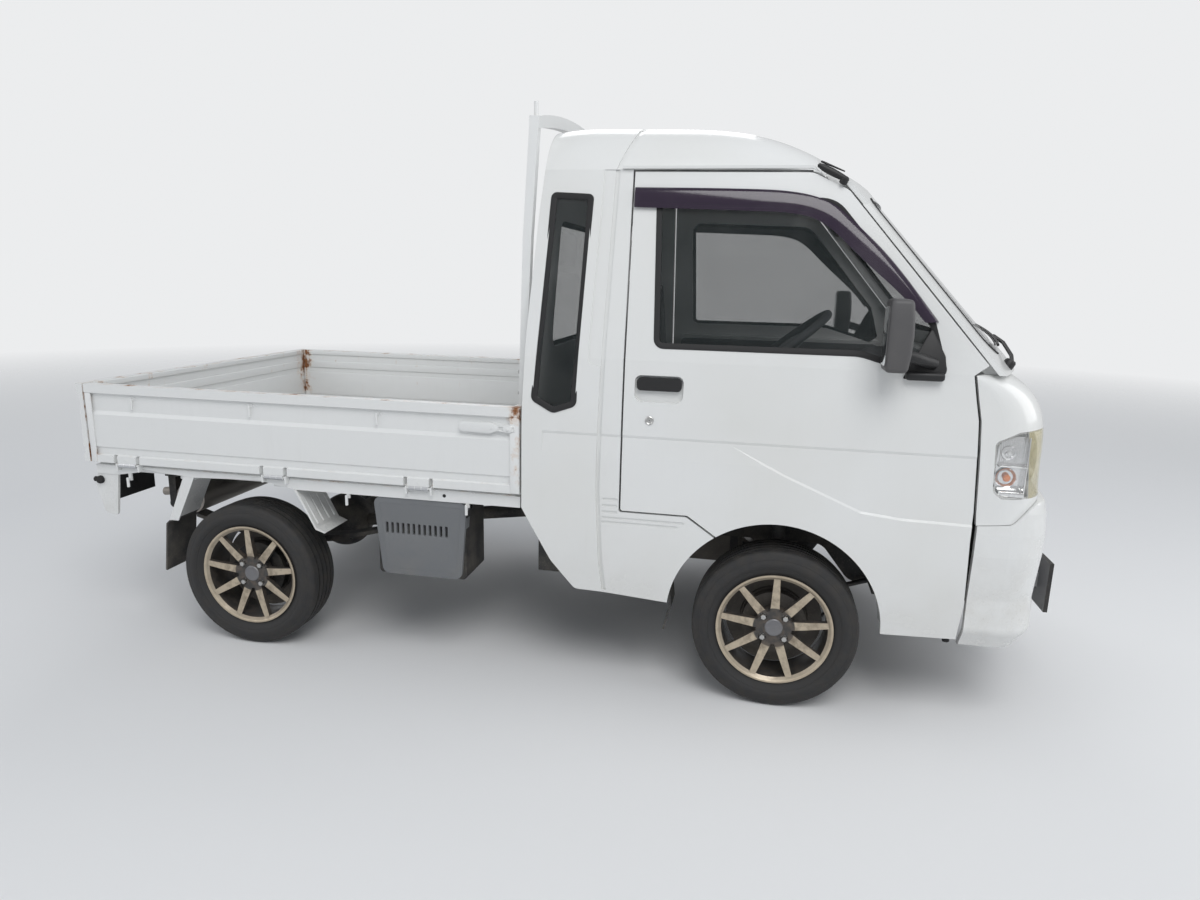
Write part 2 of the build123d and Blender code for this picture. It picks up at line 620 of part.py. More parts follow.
def make_tyre():
    """Tyre about the Y axis, its middle at the origin."""
    half = TYRE_WIDTH / 2
    seat = RIM_WIDTH / 2 - 9
    profile = [(RIM_SEAT_RADIUS + SEAT_GAP, -seat), (RIM_SEAT_RADIUS + SEAT_GAP, seat),
               (RIM_LIP_RADIUS + 1, seat + 1), (225, half, 20), (TYRE_RADIUS - 3, half - 10, 16),
               (TYRE_RADIUS, 30), (TYRE_RADIUS, -30), (TYRE_RADIUS - 3, 10 - half, 16), (225, -half, 20),
               (RIM_LIP_RADIUS + 1, -seat - 1)]
    face = outline([(a, b, *r) for a, b, *r in profile], lambda a, b: Vector(0, b, a))
    tyre = revolve(face, Axis.Y)
    for y in TREAD_GROOVES:
        groove = outline(((TYRE_RADIUS - 7, y - 4), (TYRE_RADIUS + 2, y - 4), (TYRE_RADIUS + 2, y + 4),
                          (TYRE_RADIUS - 7, y + 4)), lambda a, b: Vector(0, b, a))
        tyre -= revolve(groove, Axis.Y)
    return tyre


def make_rim():
    """Right-hand rim about the Y axis, spokes towards -Y, with its hub bore open inboard."""
    half = RIM_WIDTH / 2
    lip = RIM_LIP_RADIUS
    seat = RIM_SEAT_RADIUS
    barrel = ((lip, -half), (lip, 3 - half), (lip - 3, 7 - half), (seat, 9 - half), (seat, half - 9),
              (lip, half - 5), (lip, half), (lip - 5, half), (seat - 6, half - 9), (seat - 8, 10 - half),
              (lip - 8, 2 - half), (lip - 5, -half))
    rim = revolve(outline(barrel, lambda a, b: Vector(0, b, a)), Axis.Y)
    hub = ((0, 18 - RIM_FACE), (30, 14 - RIM_FACE), (HUB_RADIUS, 14 - RIM_FACE),
           (HUB_RADIUS + 6, 24 - RIM_FACE), (HUB_RADIUS + 6, 50 - RIM_FACE), (HUB_BORE, 50 - RIM_FACE),
           (HUB_BORE, 30 - RIM_FACE), (0, 30 - RIM_FACE))
    rim += revolve(outline(hub, lambda a, b: Vector(0, b, a)), Axis.Y)
    spoke_face = ((HUB_RADIUS - 4, 14 - RIM_FACE), (110, 6 - RIM_FACE, 60), (seat - 5, 0 - RIM_FACE),
                  (seat - 5, 16 - RIM_FACE), (110, 24 - RIM_FACE, 60), (HUB_RADIUS - 4, 38 - RIM_FACE))
    blade = extrude(outline(spoke_face, lambda a, b: Vector(-SPOKE_WIDTH / 2, b, a)), amount=SPOKE_WIDTH,
                    dir=(1, 0, 0))
    foot, tip = SPOKE_WIDTH / 2, SPOKE_WIDTH / 2 - 5
    taper = ((-foot, HUB_RADIUS - 6), (foot, HUB_RADIUS - 6), (tip, seat - 4), (-tip, seat - 4))
    blade &= prism_y(taper, -half - 10, half)
    for i in range(SPOKES):
        rim += Rot(0, 360 / SPOKES * i, 0) * blade
    for i in range(NUTS):
        angle = math.radians(360 / NUTS * i + 45)
        x, z = NUT_CIRCLE / 2 * math.sin(angle), NUT_CIRCLE / 2 * math.cos(angle)
        rim -= rod((x, -RIM_FACE, z), (x, 26 - RIM_FACE, z), 12)
        rim += rod((x, 20 - RIM_FACE, z), (x, 30 - RIM_FACE, z), 9)
    return rim


def at_wheel(shape, x, track, side):
    """A right-hand wheel piece at its corner of the truck."""
    placed = Pos(x, -track / 2, TYRE_RADIUS) * shape
    return mirrored(placed) if side == "left" else placed


def kingpin(z):
    """Point of the right kingpin's axis at a height."""
    return (X_FRONT, -(KINGPIN_Y - (z - TYRE_RADIUS) * math.tan(math.radians(KINGPIN_LEAN))), z)


def make_knuckle():
    """Right steering knuckle: spindle in the hub's bore, brake drum, carrier and steering arm."""
    face = -TRACK_FRONT / 2 - RIM_FACE
    spindle = rod((X_FRONT, face + 32, TYRE_RADIUS), (X_FRONT, -590, TYRE_RADIUS), HUB_BORE - SEAT_GAP)
    drum = rod((X_FRONT, face + 56, TYRE_RADIUS), (X_FRONT, -631, TYRE_RADIUS), 105)
    carrier = rod(kingpin(215), kingpin(350), 27)
    web = block((X_FRONT - 30, X_FRONT + 30), (-632, -600), (225, 310))
    tip = X_FRONT - ARM_REACH - 14
    plan = [(tip, ARM_BALL_Y - 12), (tip, ARM_BALL_Y + 12), (X_FRONT, -572), (X_FRONT, -600)]
    arm = prism_z(plan, ARM_Z, ARM_Z + 14)
    return spindle + drum + carrier + web + arm


def make_front_suspension():
    """Struts on the kingpins, lower arms, stay rods, rack and tie rods."""
    pieces = []
    low, high = kingpin(178), kingpin(206)
    strut = rod(kingpin(350 + SEAT_GAP), kingpin(STRUT_TOP), 22)
    cap = rod(kingpin(STRUT_TOP - 60), kingpin(STRUT_TOP), STRUT_CAP)
    joint = rod(kingpin(200), kingpin(215 - SEAT_GAP), 10)
    lower = rod(low, high, 20) + joint + rod((X_FRONT, -368, 270), low, 14)
    lower += rod((X_FRONT - 30, -368, 270), (X_FRONT + 30, -368, 270), 16)
    stay = rod((X_FRONT, -430, 250), (1300, -370, 345), 9) + block((1290, 1320), (-378, -355.3), (330, 362))
    ball_x, ball_y = X_FRONT - ARM_REACH, ARM_BALL_Y
    tie = rod((RACK_X, -300, RACK_Z), (ball_x, ball_y + 4, RACK_Z), 8)
    ball = rod((ball_x, ball_y, RACK_Z - 11), (ball_x, ball_y, ARM_Z - 10), 13)
    for piece in (strut + cap, lower + stay, tie + ball):
        pieces += both(piece)
    rack = rod((RACK_X, -300, RACK_Z), (RACK_X, 300, RACK_Z), RACK_RADIUS)
    return pieces + [rack]


def make_rear_axle():
    """Rear axle beam with its differential, brake drums and the propeller shaft."""
    inner = TRACK_REAR / 2 + RIM_FACE - 32
    beam = rod((X_REAR, -inner, TYRE_RADIUS), (X_REAR, inner, TYRE_RADIUS), HUB_BORE - SEAT_GAP)
    beam += rod((X_REAR, -560, TYRE_RADIUS), (X_REAR, 560, TYRE_RADIUS), 36)
    beam += Pos(X_REAR, 0, TYRE_RADIUS) * Sphere(118)
    for side in (-1, 1):
        beam += rod((X_REAR, side * (inner - 26), TYRE_RADIUS), (X_REAR, side * 605, TYRE_RADIUS), 105)
    shaft = rod((X_REAR + 60, 0, TYRE_RADIUS), (GEARBOX_REAR_X, 0, 400), 28)
    shaft -= block((GEARBOX_REAR_X - SEAT_GAP, GEARBOX_REAR_X + 60), (-60, 60), (340, 460))
    return beam + shaft


def make_leaf_springs():
    """Two leaf springs over the rear axle, with their eyes and the axle pads."""
    half = SPRING_LENGTH / 2
    leaves = []
    for i, length in enumerate((half, half * 0.8, half * 0.55)):
        z = SPRING_TOP_Z - i * 8
        rise = SPRING_RISE * (length / half)**2
        line = ThreePointArc((X_REAR - length, z + rise), (X_REAR, z), (X_REAR + length, z + rise))
        low = ThreePointArc((X_REAR - length, z + rise - 8), (X_REAR, z - 8), (X_REAR + length, z + rise - 8))
        edges = [line, low, Line(line @ 0, low @ 0), Line(line @ 1, low @ 1)]
        face = Plane(origin=(0, -SPRING_Y - 30, 0), x_dir=(1, 0, 0), z_dir=(0, -1, 0)) * make_face(edges)
        leaves.append(extrude(face, amount=60, dir=(0, 1, 0)))
    spring = leaves[0] + leaves[1] + leaves[2]
    top = SPRING_TOP_Z + SPRING_RISE
    for x in (X_REAR - half, X_REAR + half):
        spring += rod((x, -SPRING_Y - 30, top), (x, -SPRING_Y + 30, top), 18)
        spring += block((x - 16, x + 16), (-SPRING_Y - 30, -SPRING_Y + 30), (top, FRAME_LOW_Z + 5))
        spring += block((x - 30, x + 30), (-SPRING_Y - 30, -FRAME_RAIL_Y - FRAME_RAIL_WIDTH / 2),
                        (FRAME_LOW_Z + 3, FRAME_LOW_Z + 12))
    spring += block((X_REAR - 45, X_REAR + 45), (-SPRING_Y - 34, -SPRING_Y + 34),
                    (TYRE_RADIUS + 30, SPRING_TOP_Z - 20))
    return both(spring - rod((X_REAR, -600, TYRE_RADIUS), (X_REAR, 0, TYRE_RADIUS), 36 + SEAT_GAP))


def make_frame():
    """Two frame rails with their posts and brackets; they drop under the cab."""
    low = FRAME_LOW_Z
    high = low + FRAME_RAIL_HEIGHT
    side = ((-1545, low), (-120, low), (120, 455, 60), (1110, 455, 60), (1215, 322, 60), (1660, 322),
            (1660, 385), (1240, 385, 60), (1140, 520, 60), (150, 520, 60), (-60, high), (-1545, high))
    y0 = -FRAME_RAIL_Y - FRAME_RAIL_WIDTH / 2
    rail = prism_y(side, y0, y0 + FRAME_RAIL_WIDTH)
    frame = rail + mirrored(rail)
    floor_z = PLATFORM_Z - FLOOR_THICK
    for x, z, top in ((170, 515, floor_z), (1000, 515, floor_z), (1450, 380, FOOT_Z - FLOOR_THICK)):
        post = block((x - 25, x + 25), (y0 + 5, y0 + FRAME_RAIL_WIDTH - 5), (z, top - SEAT_GAP))
        frame += post + mirrored(post)
    inner = y0 + FRAME_RAIL_WIDTH
    brackets = block((X_FRONT - 28, X_FRONT + 28), (y0 + 4, y0 + 14), (250, 460))
    brackets += block((RACK_X - 15, RACK_X + 15), (inner - 5, inner + 25), (470, 500))
    brackets += block((RACK_X - 15, RACK_X + 15), (inner + 13, inner + 25),
                      (RACK_Z + RACK_RADIUS + SEAT_GAP, 500))
    brackets += block((1650, BUMPER_STAY_X), (y0 + 5, inner - 5), (335, 372))
    return frame + brackets + mirrored(brackets)


def make_cross_members():
    """Cross-members between the frame rails."""
    half = FRAME_RAIL_Y - FRAME_RAIL_WIDTH / 2 - SEAT_GAP
    return [block((x - 25, x + 25), (-half, half), (z + 4, z + 58)) for x, z in CROSS_MEMBERS]


def make_engine_block():
    """Engine and gearbox as one plain block between the rails, under the seats."""
    engine = block((430, 830), (-235, 235), (312, 610))
    gearbox = block((GEARBOX_REAR_X, 430), (-130, 130), (320, 490))
    inner = FRAME_RAIL_Y - FRAME_RAIL_WIDTH / 2 - SEAT_GAP
    feet = block((600, 660), (-inner, inner), (470, 500))
    return engine + gearbox + feet


def make_exhaust():
    """Exhaust pipe along the left rail to a silencer across the rear."""
    points = ((430 - SEAT_GAP, 180, 400), (300, 180, 400), (-100, 250, 420), (-560, 250, 500),
              (-1250, 250, 500), (-1330, 250, 480))
    pipe = rod((-1330, -520, 480), (-1330, 280, 480), 62)
    for start, end in zip(points, points[1:]):
        pipe += rod(start, end, 18) + Pos(*end) * Sphere(18)
    pipe += rod((-1330, -382, 480), (-1560, -382, 455), 17)
    pipe += block((-1345, -1315), (-334, -326), (500, FRAME_LOW_Z - SEAT_GAP))
    return pipe + block((-504, -496), (244, 256), (500, FRAME_LOW_Z + 4 - SEAT_GAP))


def make_cab_floor():
    """Footwell, seat platform over the wheels and engine, sills, and hinge pillars with the door pins."""
    under = PLATFORM_Z - FLOOR_THICK
    wide = (-FLOOR_HALF, FLOOR_HALF)
    rear = CAB_REAR_EDGE[0][0] + 24
    floor = block((rear + SEAT_GAP, RISER_X), wide, (under, PLATFORM_Z))
    floor += block((RISER_X - FLOOR_THICK, RISER_X), wide, (FOOT_Z - FLOOR_THICK, under))
    foot = (FOOT_Z - FLOOR_THICK, FOOT_Z)
    floor += block((RISER_X, FIREWALL_X + FLOOR_THICK), (-PILLAR_HALF, PILLAR_HALF), foot)
    floor += block((128, 140), wide, (560, under))
    floor += block((FIREWALL_X, FIREWALL_X + FLOOR_THICK), (-620, 620), (FOOT_Z, PILLAR_TOP))
    side = block((140, 590), (-FLOOR_HALF, FLOOR_THICK - FLOOR_HALF), (372, under))
    side += block((1380, FIREWALL_X), (-PILLAR_HALF, PILLAR_THICK - PILLAR_HALF), (foot[0], PILLAR_TOP))
    lug_x = (HINGE_X - HINGE_LUG / 2, HINGE_X + HINGE_LUG / 2)
    for z in DOOR_HINGES:
        side += block(lug_x, (-HINGE_Y, -PILLAR_HALF), (z - 6, z + 6))
        low, high = [(HINGE_X, -HINGE_Y, z + reach) for reach in (-HINGE_PIN_REACH, HINGE_PIN_REACH)]
        side += rod(low, high, DOOR_PIN)
    for part in both(side):
        floor += part
    return floor - block((100, 160), (-240, 240), (500, 600))


def make_dashboard():
    """Dashboard across the cab, with its lower column cover."""
    profile = ((1515, 1088, 20), (1330, 1096, 60), (1235, 1010, 60), (1225, 860, 30), (1265, 740, 30),
               (1480, 760, 30), (FIREWALL_X - SEAT_GAP, 900, 20), (FIREWALL_X - SEAT_GAP, 1050))
    half = PILLAR_HALF - PILLAR_THICK - SEAT_GAP
    dash = prism_y(profile, -half, half) & cab_section(70, 1100, 1700)
    top = Vector(HANDWHEEL_X, HANDWHEEL_Y, HANDWHEEL_Z) + column_axis() * COLUMN_REACH
    foot = top + column_axis() * 493
    shroud = rod(top, foot, 42)
    return dash + shroud + rod(foot, foot + column_axis() * 300, 16)


def make_seats():
    """Two seats: cushion, back and head restraint on each side."""
    seats = []
    seat_z = PLATFORM_Z + SEAT_GAP
    cushion = prism_y(((380, seat_z, 30), (905, seat_z, 40), (925, 790, 50), (420, 755, 40)), -575, -85)
    back_shape = ((290, seat_z, 20), (375, seat_z), (415, 757.5), (462, 778, 25), (382, 1370, 40),
                  (255, 1370, 40))
    back = prism_y(back_shape, -560, -100)
    rest = prism_y(((270, 1395, 25), (375, 1395, 25), (360, 1545, 30), (285, 1545, 30)), -440, -220)
    post_z = 1370 + SEAT_GAP
    posts = rod((318, -380, post_z), (318, -380, 1400), 7) + rod((318, -280, post_z), (318, -280, 1400), 7)
    for piece in (cushion, back, rest + posts):
        seats += both(piece)
    return seats


def make_steering_wheel():
    """Steering wheel: rim, three spokes, hub and shaft."""
    ring = Torus(HANDWHEEL_RADIUS - 14, 14)
    hub = extrude(Plane.XY.offset(-30) * Circle(52), amount=34)
    wheel = ring + hub
    for angle in (0, 180, 270):
        wheel += Rot(0, 0, angle) * Pos(105, 0, -8) * Box(140, 34, 12)
    wheel += extrude(Plane.XY.offset(SEAT_GAP - COLUMN_REACH) * Circle(14), amount=COLUMN_REACH - 25)
    plane = Plane(origin=(HANDWHEEL_X, HANDWHEEL_Y, HANDWHEEL_Z), x_dir=(0, -1, 0), z_dir=column_axis(-1))
    return plane.location * wheel


def column_axis(sign=1):
    """Direction of the steering column, down to the floor."""
    tilt = math.radians(WHEEL_TILT)
    return Vector(sign * math.sin(tilt), 0, -sign * math.cos(tilt))


def make_bed_floor():
    """Bed floor with its side rails, cross-members, front wall and hook pins."""
    rear = BED_FRONT_X - BED_LENGTH
    under = BED_FLOOR_Z - BED_FLOOR_THICK
    floor = block((rear, BED_FRONT_X), (-698, 698), (under, BED_FLOOR_Z))
    rail_shape = ((rear, 649), (rear, 615), (-1463, 615), (-1388, 627), (-1356, 643), (-1250, 632),
                  (-1143, 626), (-883, 635), (-735, 611), (BED_FRONT_X, 611), (BED_FRONT_X, 649))
    rail = prism_y(rail_shape, -RAIL_HALF, -RAIL_HALF + 20)
    floor += rail + mirrored(rail)
    bearer_z = (FRAME_LOW_Z + FRAME_RAIL_HEIGHT, under)
    for x in BED_BEARERS:
        floor += block((x - 30, x + 30), (10 - RAIL_HALF, RAIL_HALF - 10), bearer_z)
    wall_x = (BED_FRONT_X - 22, BED_FRONT_X)
    floor += block(wall_x, (-BED_INNER_HALF, BED_INNER_HALF), (BED_FLOOR_Z, GATE_TOP_Z))
    for x in RAIL_HOOKS:
        hook = block((x - 4, x + 4), (-RAIL_HALF - 9, -RAIL_HALF + 6), (598, 606))
        hook += rod((x, -RAIL_HALF - 9, 608), (x, -RAIL_HALF - 9, 573), 5)
        hook += block((x - 6, x + 6), (-RAIL_HALF + 2, -RAIL_HALF + 9), (595, 640))
        floor += hook + mirrored(hook)
    tab_z = (GATE_HINGE_Z - 22, GATE_HINGE_Z + 5)
    for x in GATE_HINGES:
        start, stop = [(x + reach, -GATE_HINGE_Y, GATE_HINGE_Z) for reach in (-TAB_REACH, TAB_REACH)]
        pin = rod(start, stop, HINGE_PIN)
        for end in (x - TAB_REACH, x + TAB_REACH - TAB_THICK):
            pin += block((end, end + TAB_THICK), (-GATE_HINGE_Y - 5, -RAIL_HALF + 8), tab_z)
        floor += pin + mirrored(pin)
    for y in TAILGATE_HINGES:
        start, stop = [(TAILGATE_X, y + reach, GATE_HINGE_Z) for reach in (-TAB_REACH, TAB_REACH)]
        pin = rod(start, stop, HINGE_PIN)
        for end in (y - TAB_REACH, y + TAB_REACH - TAB_THICK):
            pin += block((TAILGATE_X - 5, rear), (end, end + TAB_THICK), tab_z)
            pin += block((rear - 2, rear + 8), (end, end + TAB_THICK), (tab_z[0], BED_FLOOR_Z - 4))
        floor += pin
    return floor


def gate_profile():
    """Closed section of a drop side: inner face at 0, outwards positive, with heights."""
    return [(0, GATE_SECTION[0][0])] + [(out, z) for z, out in GATE_SECTION] + [(0, GATE_TOP_Z)]


def make_side_gate():
    """Right drop side: ribbed panel, hinge barrels, hook pins and the latch at its front."""
    rear = BED_FRONT_X - BED_LENGTH + 2
    panel = prism_x([(-BED_INNER_HALF - out, z) for out, z in gate_profile()], rear, BED_FRONT_X + 3)
    for x in GATE_HINGES:
        for low, high in NOTCHES:
            notch_x = (x + low, x + high)
            panel -= block(notch_x, (-HALF_WIDTH - 2, 2 - BED_INNER_HALF), (GATE_SECTION[0][0] - 1, NOTCH_Z))
        start, end = [(x + reach, -GATE_HINGE_Y, GATE_HINGE_Z) for reach in (-BARREL_REACH, BARREL_REACH)]
        panel += rod(start, end, HINGE_BARREL) - rod(start, end, HINGE_PIN + SEAT_GAP)
    for x in GATE_HOOKS:
        panel += block((x - 3, x + 3), (-BED_INNER_HALF - 28, -BED_INNER_HALF - 15), (899, 907))
        panel += rod((x, -BED_INNER_HALF - 27.5, 909), (x, -BED_INNER_HALF - 27.5, 868), 4)
    latch = block((-112, 80), (-BED_INNER_HALF - 30, -BED_INNER_HALF - 19), (874, 896))
    return panel + latch


def make_tailgate():
    """Tailgate: the same ribbed section across the rear."""
    inner_x = BED_FRONT_X - BED_LENGTH - 5
    half = HALF_WIDTH - 2
    panel = prism_y([(inner_x - out * 0.84, z) for out, z in gate_profile()], -half, half)
    for y in TAILGATE_HINGES:
        for low, high in NOTCHES:
            notch_y = (y + low, y + high)
            panel -= block((REAR_X - 2, inner_x + 2), notch_y, (GATE_SECTION[0][0] - 1, NOTCH_Z))
        start, end = [(TAILGATE_X, y + reach, GATE_HINGE_Z) for reach in (-BARREL_REACH, BARREL_REACH)]
        panel += rod(start, end, HINGE_BARREL) - rod(start, end, HINGE_PIN + SEAT_GAP)
    return panel


def make_guard_frame():
    """Guard frame behind the cab: two leaning posts on the bed's front wall and a crowned top bar."""
    post_shape = ((70, GATE_TOP_Z), (92, GATE_TOP_Z), (112, 1490), (136, 1855), (106, 1857), (84, 1490))
    post = prism_y(post_shape, -662, -632)
    bar = ThreePointArc((-662, 1855), (0, 1925), (662, 1855))
    low = ThreePointArc((-662, 1818), (0, 1885), (662, 1818))
    edges = [bar, low, Line(bar @ 0, low @ 0), Line(bar @ 1, low @ 1)]
    face = Plane(origin=(104, 0, 0), x_dir=(0, 1, 0), z_dir=(1, 0, 0)) * make_face(edges)
    guard = post + mirrored(post) + extrude(face, amount=32, dir=(1, 0, 0))
    horn = rod((121, -640, 1850), (121, -640, 1900), 7)
    return guard + horn + mirrored(horn)


def make_battery_box():
    """Battery box on the right, with its slots and bracket to the frame."""
    box = block((-433, -107), (-700, -520), (327, 560))
    box = fillet(box.edges().filter_by(Axis.Y), 14)
    for i in range(BATTERY_SLOTS):
        x = -397 + i * 20
        box -= block((x, x + 9), (-701, -694), (482, 517))
    lid = block((-441, -99), (-708, -512), (556, 578))
    strap = block((-300, -240), (-515, -FRAME_RAIL_Y - FRAME_RAIL_WIDTH / 2 - SEAT_GAP), (560, 572))
    return box + lid + strap


def make_fuel_tank():
    """Fuel tank on the left, with its strap to the frame."""
    tank = block((-400, -60), (480, 700), (330, 560))
    tank = fillet(tank.edges(), 30)
    strap = block((-300, -240), (FRAME_RAIL_Y + FRAME_RAIL_WIDTH / 2 + SEAT_GAP, 520), (548, 562))
    cap = rod((-200, 690, 470), (-200, 722, 480), 32)
    return tank + strap + cap


def make_rear_mudguards():
    """White ribbed plates before the rear wheels, strips behind them, panels at the rear lamps."""
    plate_shape = ((-747, 611), (-671, 467), (-636, 456), (-630, 460), (-666, 474), (-738, 611))
    plate = prism_y(plate_shape, -715, -560)
    for i in range(4):
        y = -700 + i * 38
        plate += prism_y(((-752, 607), (-676, 463), (-671, 467), (-747, 611)), y, y + 12)
    strip = prism_y(((-1190, 628.3), (-1266, 455), (-1229, 455), (-1147, 625.9)), -717, -712)
    strip += prism_y(((-1190, 612), (-1266, 455), (-1261, 453), (-1185, 610)), -717, -560)
    top = FRAME_LOW_Z + FRAME_RAIL_HEIGHT - SEAT_GAP
    corner_shape = ((-1556, top), (-1574, 573), (-1542, 466, 12), (-1491, 451, 12), (-1470, top))
    corner = prism_y(corner_shape, -714, LAMP_SEAT_Y)
    return both(plate) + both(strip) + both(corner)


def make_mud_flaps():
    """Rubber flaps behind the wheels."""
    rear_shape = ((-1266, 454.6), (-1282, 440), (-1304, 255), (-1298, 253), (-1276, 440), (-1261, 452.6))
    front_shape = ((606, 353.9), (612, 300), (590, 215), (584, 217), (604, 300), (598, 354.4))
    rear = prism_y(rear_shape, -717, -560)
    front = prism_y(front_shape, -690, -580)
    return both(rear) + both(front)


def make_tail_lamps():
    """Rear lamps under the bed's rear corners, on their posts."""
    lamp = block((-1568, -1530), (LAMP_SEAT_Y, -470), (500, 590))
    lamp = fillet(lamp.edges().filter_by(Axis.X, reverse=True).group_by(Axis.X)[0], 8)
    top = FRAME_LOW_Z + FRAME_RAIL_HEIGHT - SEAT_GAP
    post = block((-1530, -1500), (LAMP_SEAT_Y, -640), (560, top))
    return both(lamp + post)


def make_licence_plate():
    """Blank licence plate in a dark frame on a grey stay ahead of the bumper."""
    plate = block((1827, 1829), (-478, -152), (327, 488))
    rim = block((1822, PLATE_FACE_X), (-482, -148), (323, 492))
    rim -= block((1829, 1900), (-474, -156), (331, 484))
    rim -= block((1827, 1829), (-478, -152), (327, 488))
    stay = block((1770, 1822), (-400, -230), (380, 430))
    return [plate, rim + stay - make_bumper()]


os.makedirs("parts", exist_ok=True)
SHIFT = Pos(-(PLATE_FACE_X + REAR_X) / 2, 0, 0)


def save(name, shape):
    """Write one node as STEP, moved to the truck's own origin."""
    pieces = shape if isinstance(shape, list) else [shape]
    solids = [solid for piece in pieces for solid in piece.solids()]
    node = SHIFT * (solids[0] if len(solids) == 1 else Compound(solids))
    export_step(node, f"parts/{name}.step")
    return node


RIGHT_PIECES = (
    ("door", make_door),
    ("door_glass", make_door_glass),
    ("door_visor", make_visor),
    ("door_handle", make_door_handle),
    ("mirror", make_mirror),
    ("side_gate", make_side_gate),
    ("knuckle", make_knuckle),
    ("cab_side", make_cab_side),
)
SINGLE_PIECES = (
    ("frame", make_frame),
    ("cross_members", make_cross_members),
    ("cab_floor", make_cab_floor),
    ("cab_back", make_cab_back),
    ("roof", make_roof),
    ("windscreen_frame", make_windscreen_frame),
    ("windscreen", make_windscreen),
    ("rear_windows", make_rear_windows),
    ("front_panel", make_front_panel),
    ("front_bumper", make_bumper),
    ("headlamps", make_headlamps),
    ("headlamp_housings", make_headlamp_housings),
    ("dashboard", make_dashboard),
    ("seats", make_seats),
    ("steering_wheel", make_steering_wheel),
    ("bed_floor", make_bed_floor),
    ("tailgate", make_tailgate),
    ("guard_frame", make_guard_frame),
    ("battery_box", make_battery_box),
    ("fuel_tank", make_fuel_tank),
    ("rear_mudguards", make_rear_mudguards),
    ("mud_flaps", make_mud_flaps),
    ("tail_lamps", make_tail_lamps),
    ("licence_plate", make_licence_plate),
    ("engine_block", make_engine_block),
    ("exhaust", make_exhaust),
    ("rear_axle", make_rear_axle),
    ("leaf_springs", make_leaf_springs),
    ("front_suspension", make_front_suspension),
)
WHEELS = (
    ("front_right", X_FRONT, TRACK_FRONT, "right"),
    ("front_left", X_FRONT, TRACK_FRONT, "left"),
    ("rear_right", X_REAR, TRACK_REAR, "right"),
    ("rear_left", X_REAR, TRACK_REAR, "left"),
)

for name, maker in SINGLE_PIECES:
    save(name, maker())
for name, maker in RIGHT_PIECES:
    right = maker()
    save(f"{name}_right", right)
    save(f"{name}_left", mirrored(right))
rim = make_rim()
tyre = make_tyre()
for place, x, track, side in WHEELS:
    save(f"rim_{place}", at_wheel(rim, x, track, side))
    save(f"tyre_{place}", at_wheel(tyre, x, track, side))
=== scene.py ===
import json
import math
from contextlib import contextmanager

import bpy
from mathutils import Matrix, Vector

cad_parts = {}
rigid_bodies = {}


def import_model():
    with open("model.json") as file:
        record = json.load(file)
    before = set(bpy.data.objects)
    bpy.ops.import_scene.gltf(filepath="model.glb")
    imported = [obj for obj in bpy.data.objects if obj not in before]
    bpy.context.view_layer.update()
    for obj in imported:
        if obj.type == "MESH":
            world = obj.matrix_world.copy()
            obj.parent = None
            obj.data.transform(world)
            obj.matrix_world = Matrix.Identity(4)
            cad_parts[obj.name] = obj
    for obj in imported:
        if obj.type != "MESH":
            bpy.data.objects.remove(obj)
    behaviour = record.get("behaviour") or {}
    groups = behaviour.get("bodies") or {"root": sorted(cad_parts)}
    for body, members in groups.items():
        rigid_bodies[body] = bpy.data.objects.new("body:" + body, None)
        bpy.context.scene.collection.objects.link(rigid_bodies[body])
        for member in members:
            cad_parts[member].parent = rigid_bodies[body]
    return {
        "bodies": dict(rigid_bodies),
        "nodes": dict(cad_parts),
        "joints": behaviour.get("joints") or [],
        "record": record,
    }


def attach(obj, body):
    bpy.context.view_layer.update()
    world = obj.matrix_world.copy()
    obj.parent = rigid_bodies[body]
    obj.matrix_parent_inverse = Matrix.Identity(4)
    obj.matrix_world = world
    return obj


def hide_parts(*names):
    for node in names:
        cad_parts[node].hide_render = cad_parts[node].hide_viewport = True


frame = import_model()

bl_info = {
    "name": "Kei Truck",
    "version": (1, 0, 0),
    "blender": (4, 5, 0),
    "location": "View3D > Sidebar > Kei Truck",
    "description": "Dresses the packed kei truck: paint, glass, lamps, wheels, bed, cab trim and seats",
    "category": "Object",
}

# Places are in millimetres from the middle of the wheelbase, on the ground, as the truck was measured.
MID_X = 122.5
NODES = frame["nodes"]

WHEELBASE = 1900
AXLES = {"front": WHEELBASE / 2, "rear": -WHEELBASE / 2}
TYRE_RADIUS = 268.5
WHEEL_FACE = {"front": 716, "rear": 714}
NUTS = 4
NUT_CIRCLE = 50

# Half-width and height up the cab's side, and place and height up its back wall
CAB_SIDE = ((712, 230), (738, 480), (737, 930), (723, 1122), (632, 1700))
CAB_REAR = ((103, 938), (112, 1197), (135, 1558), (149, 1700))

# Windscreen: foot of its face, rake and the radius that it bows with
GLASS_BASE_X = 1673
GLASS_BASE_Z = 1153
GLASS_SLOPE = 0.928
GLASS_BOW = 1750

# Nose: place of its middle, and twice the radius that it bows with
NOSE_X = 1761
NOSE_BOW = 6600

FORWARD = (1, 0, 0)
BACKWARD = (-1, 0, 0)
RIGHTWARD = (0, -1, 0)
LEFTWARD = (0, 1, 0)

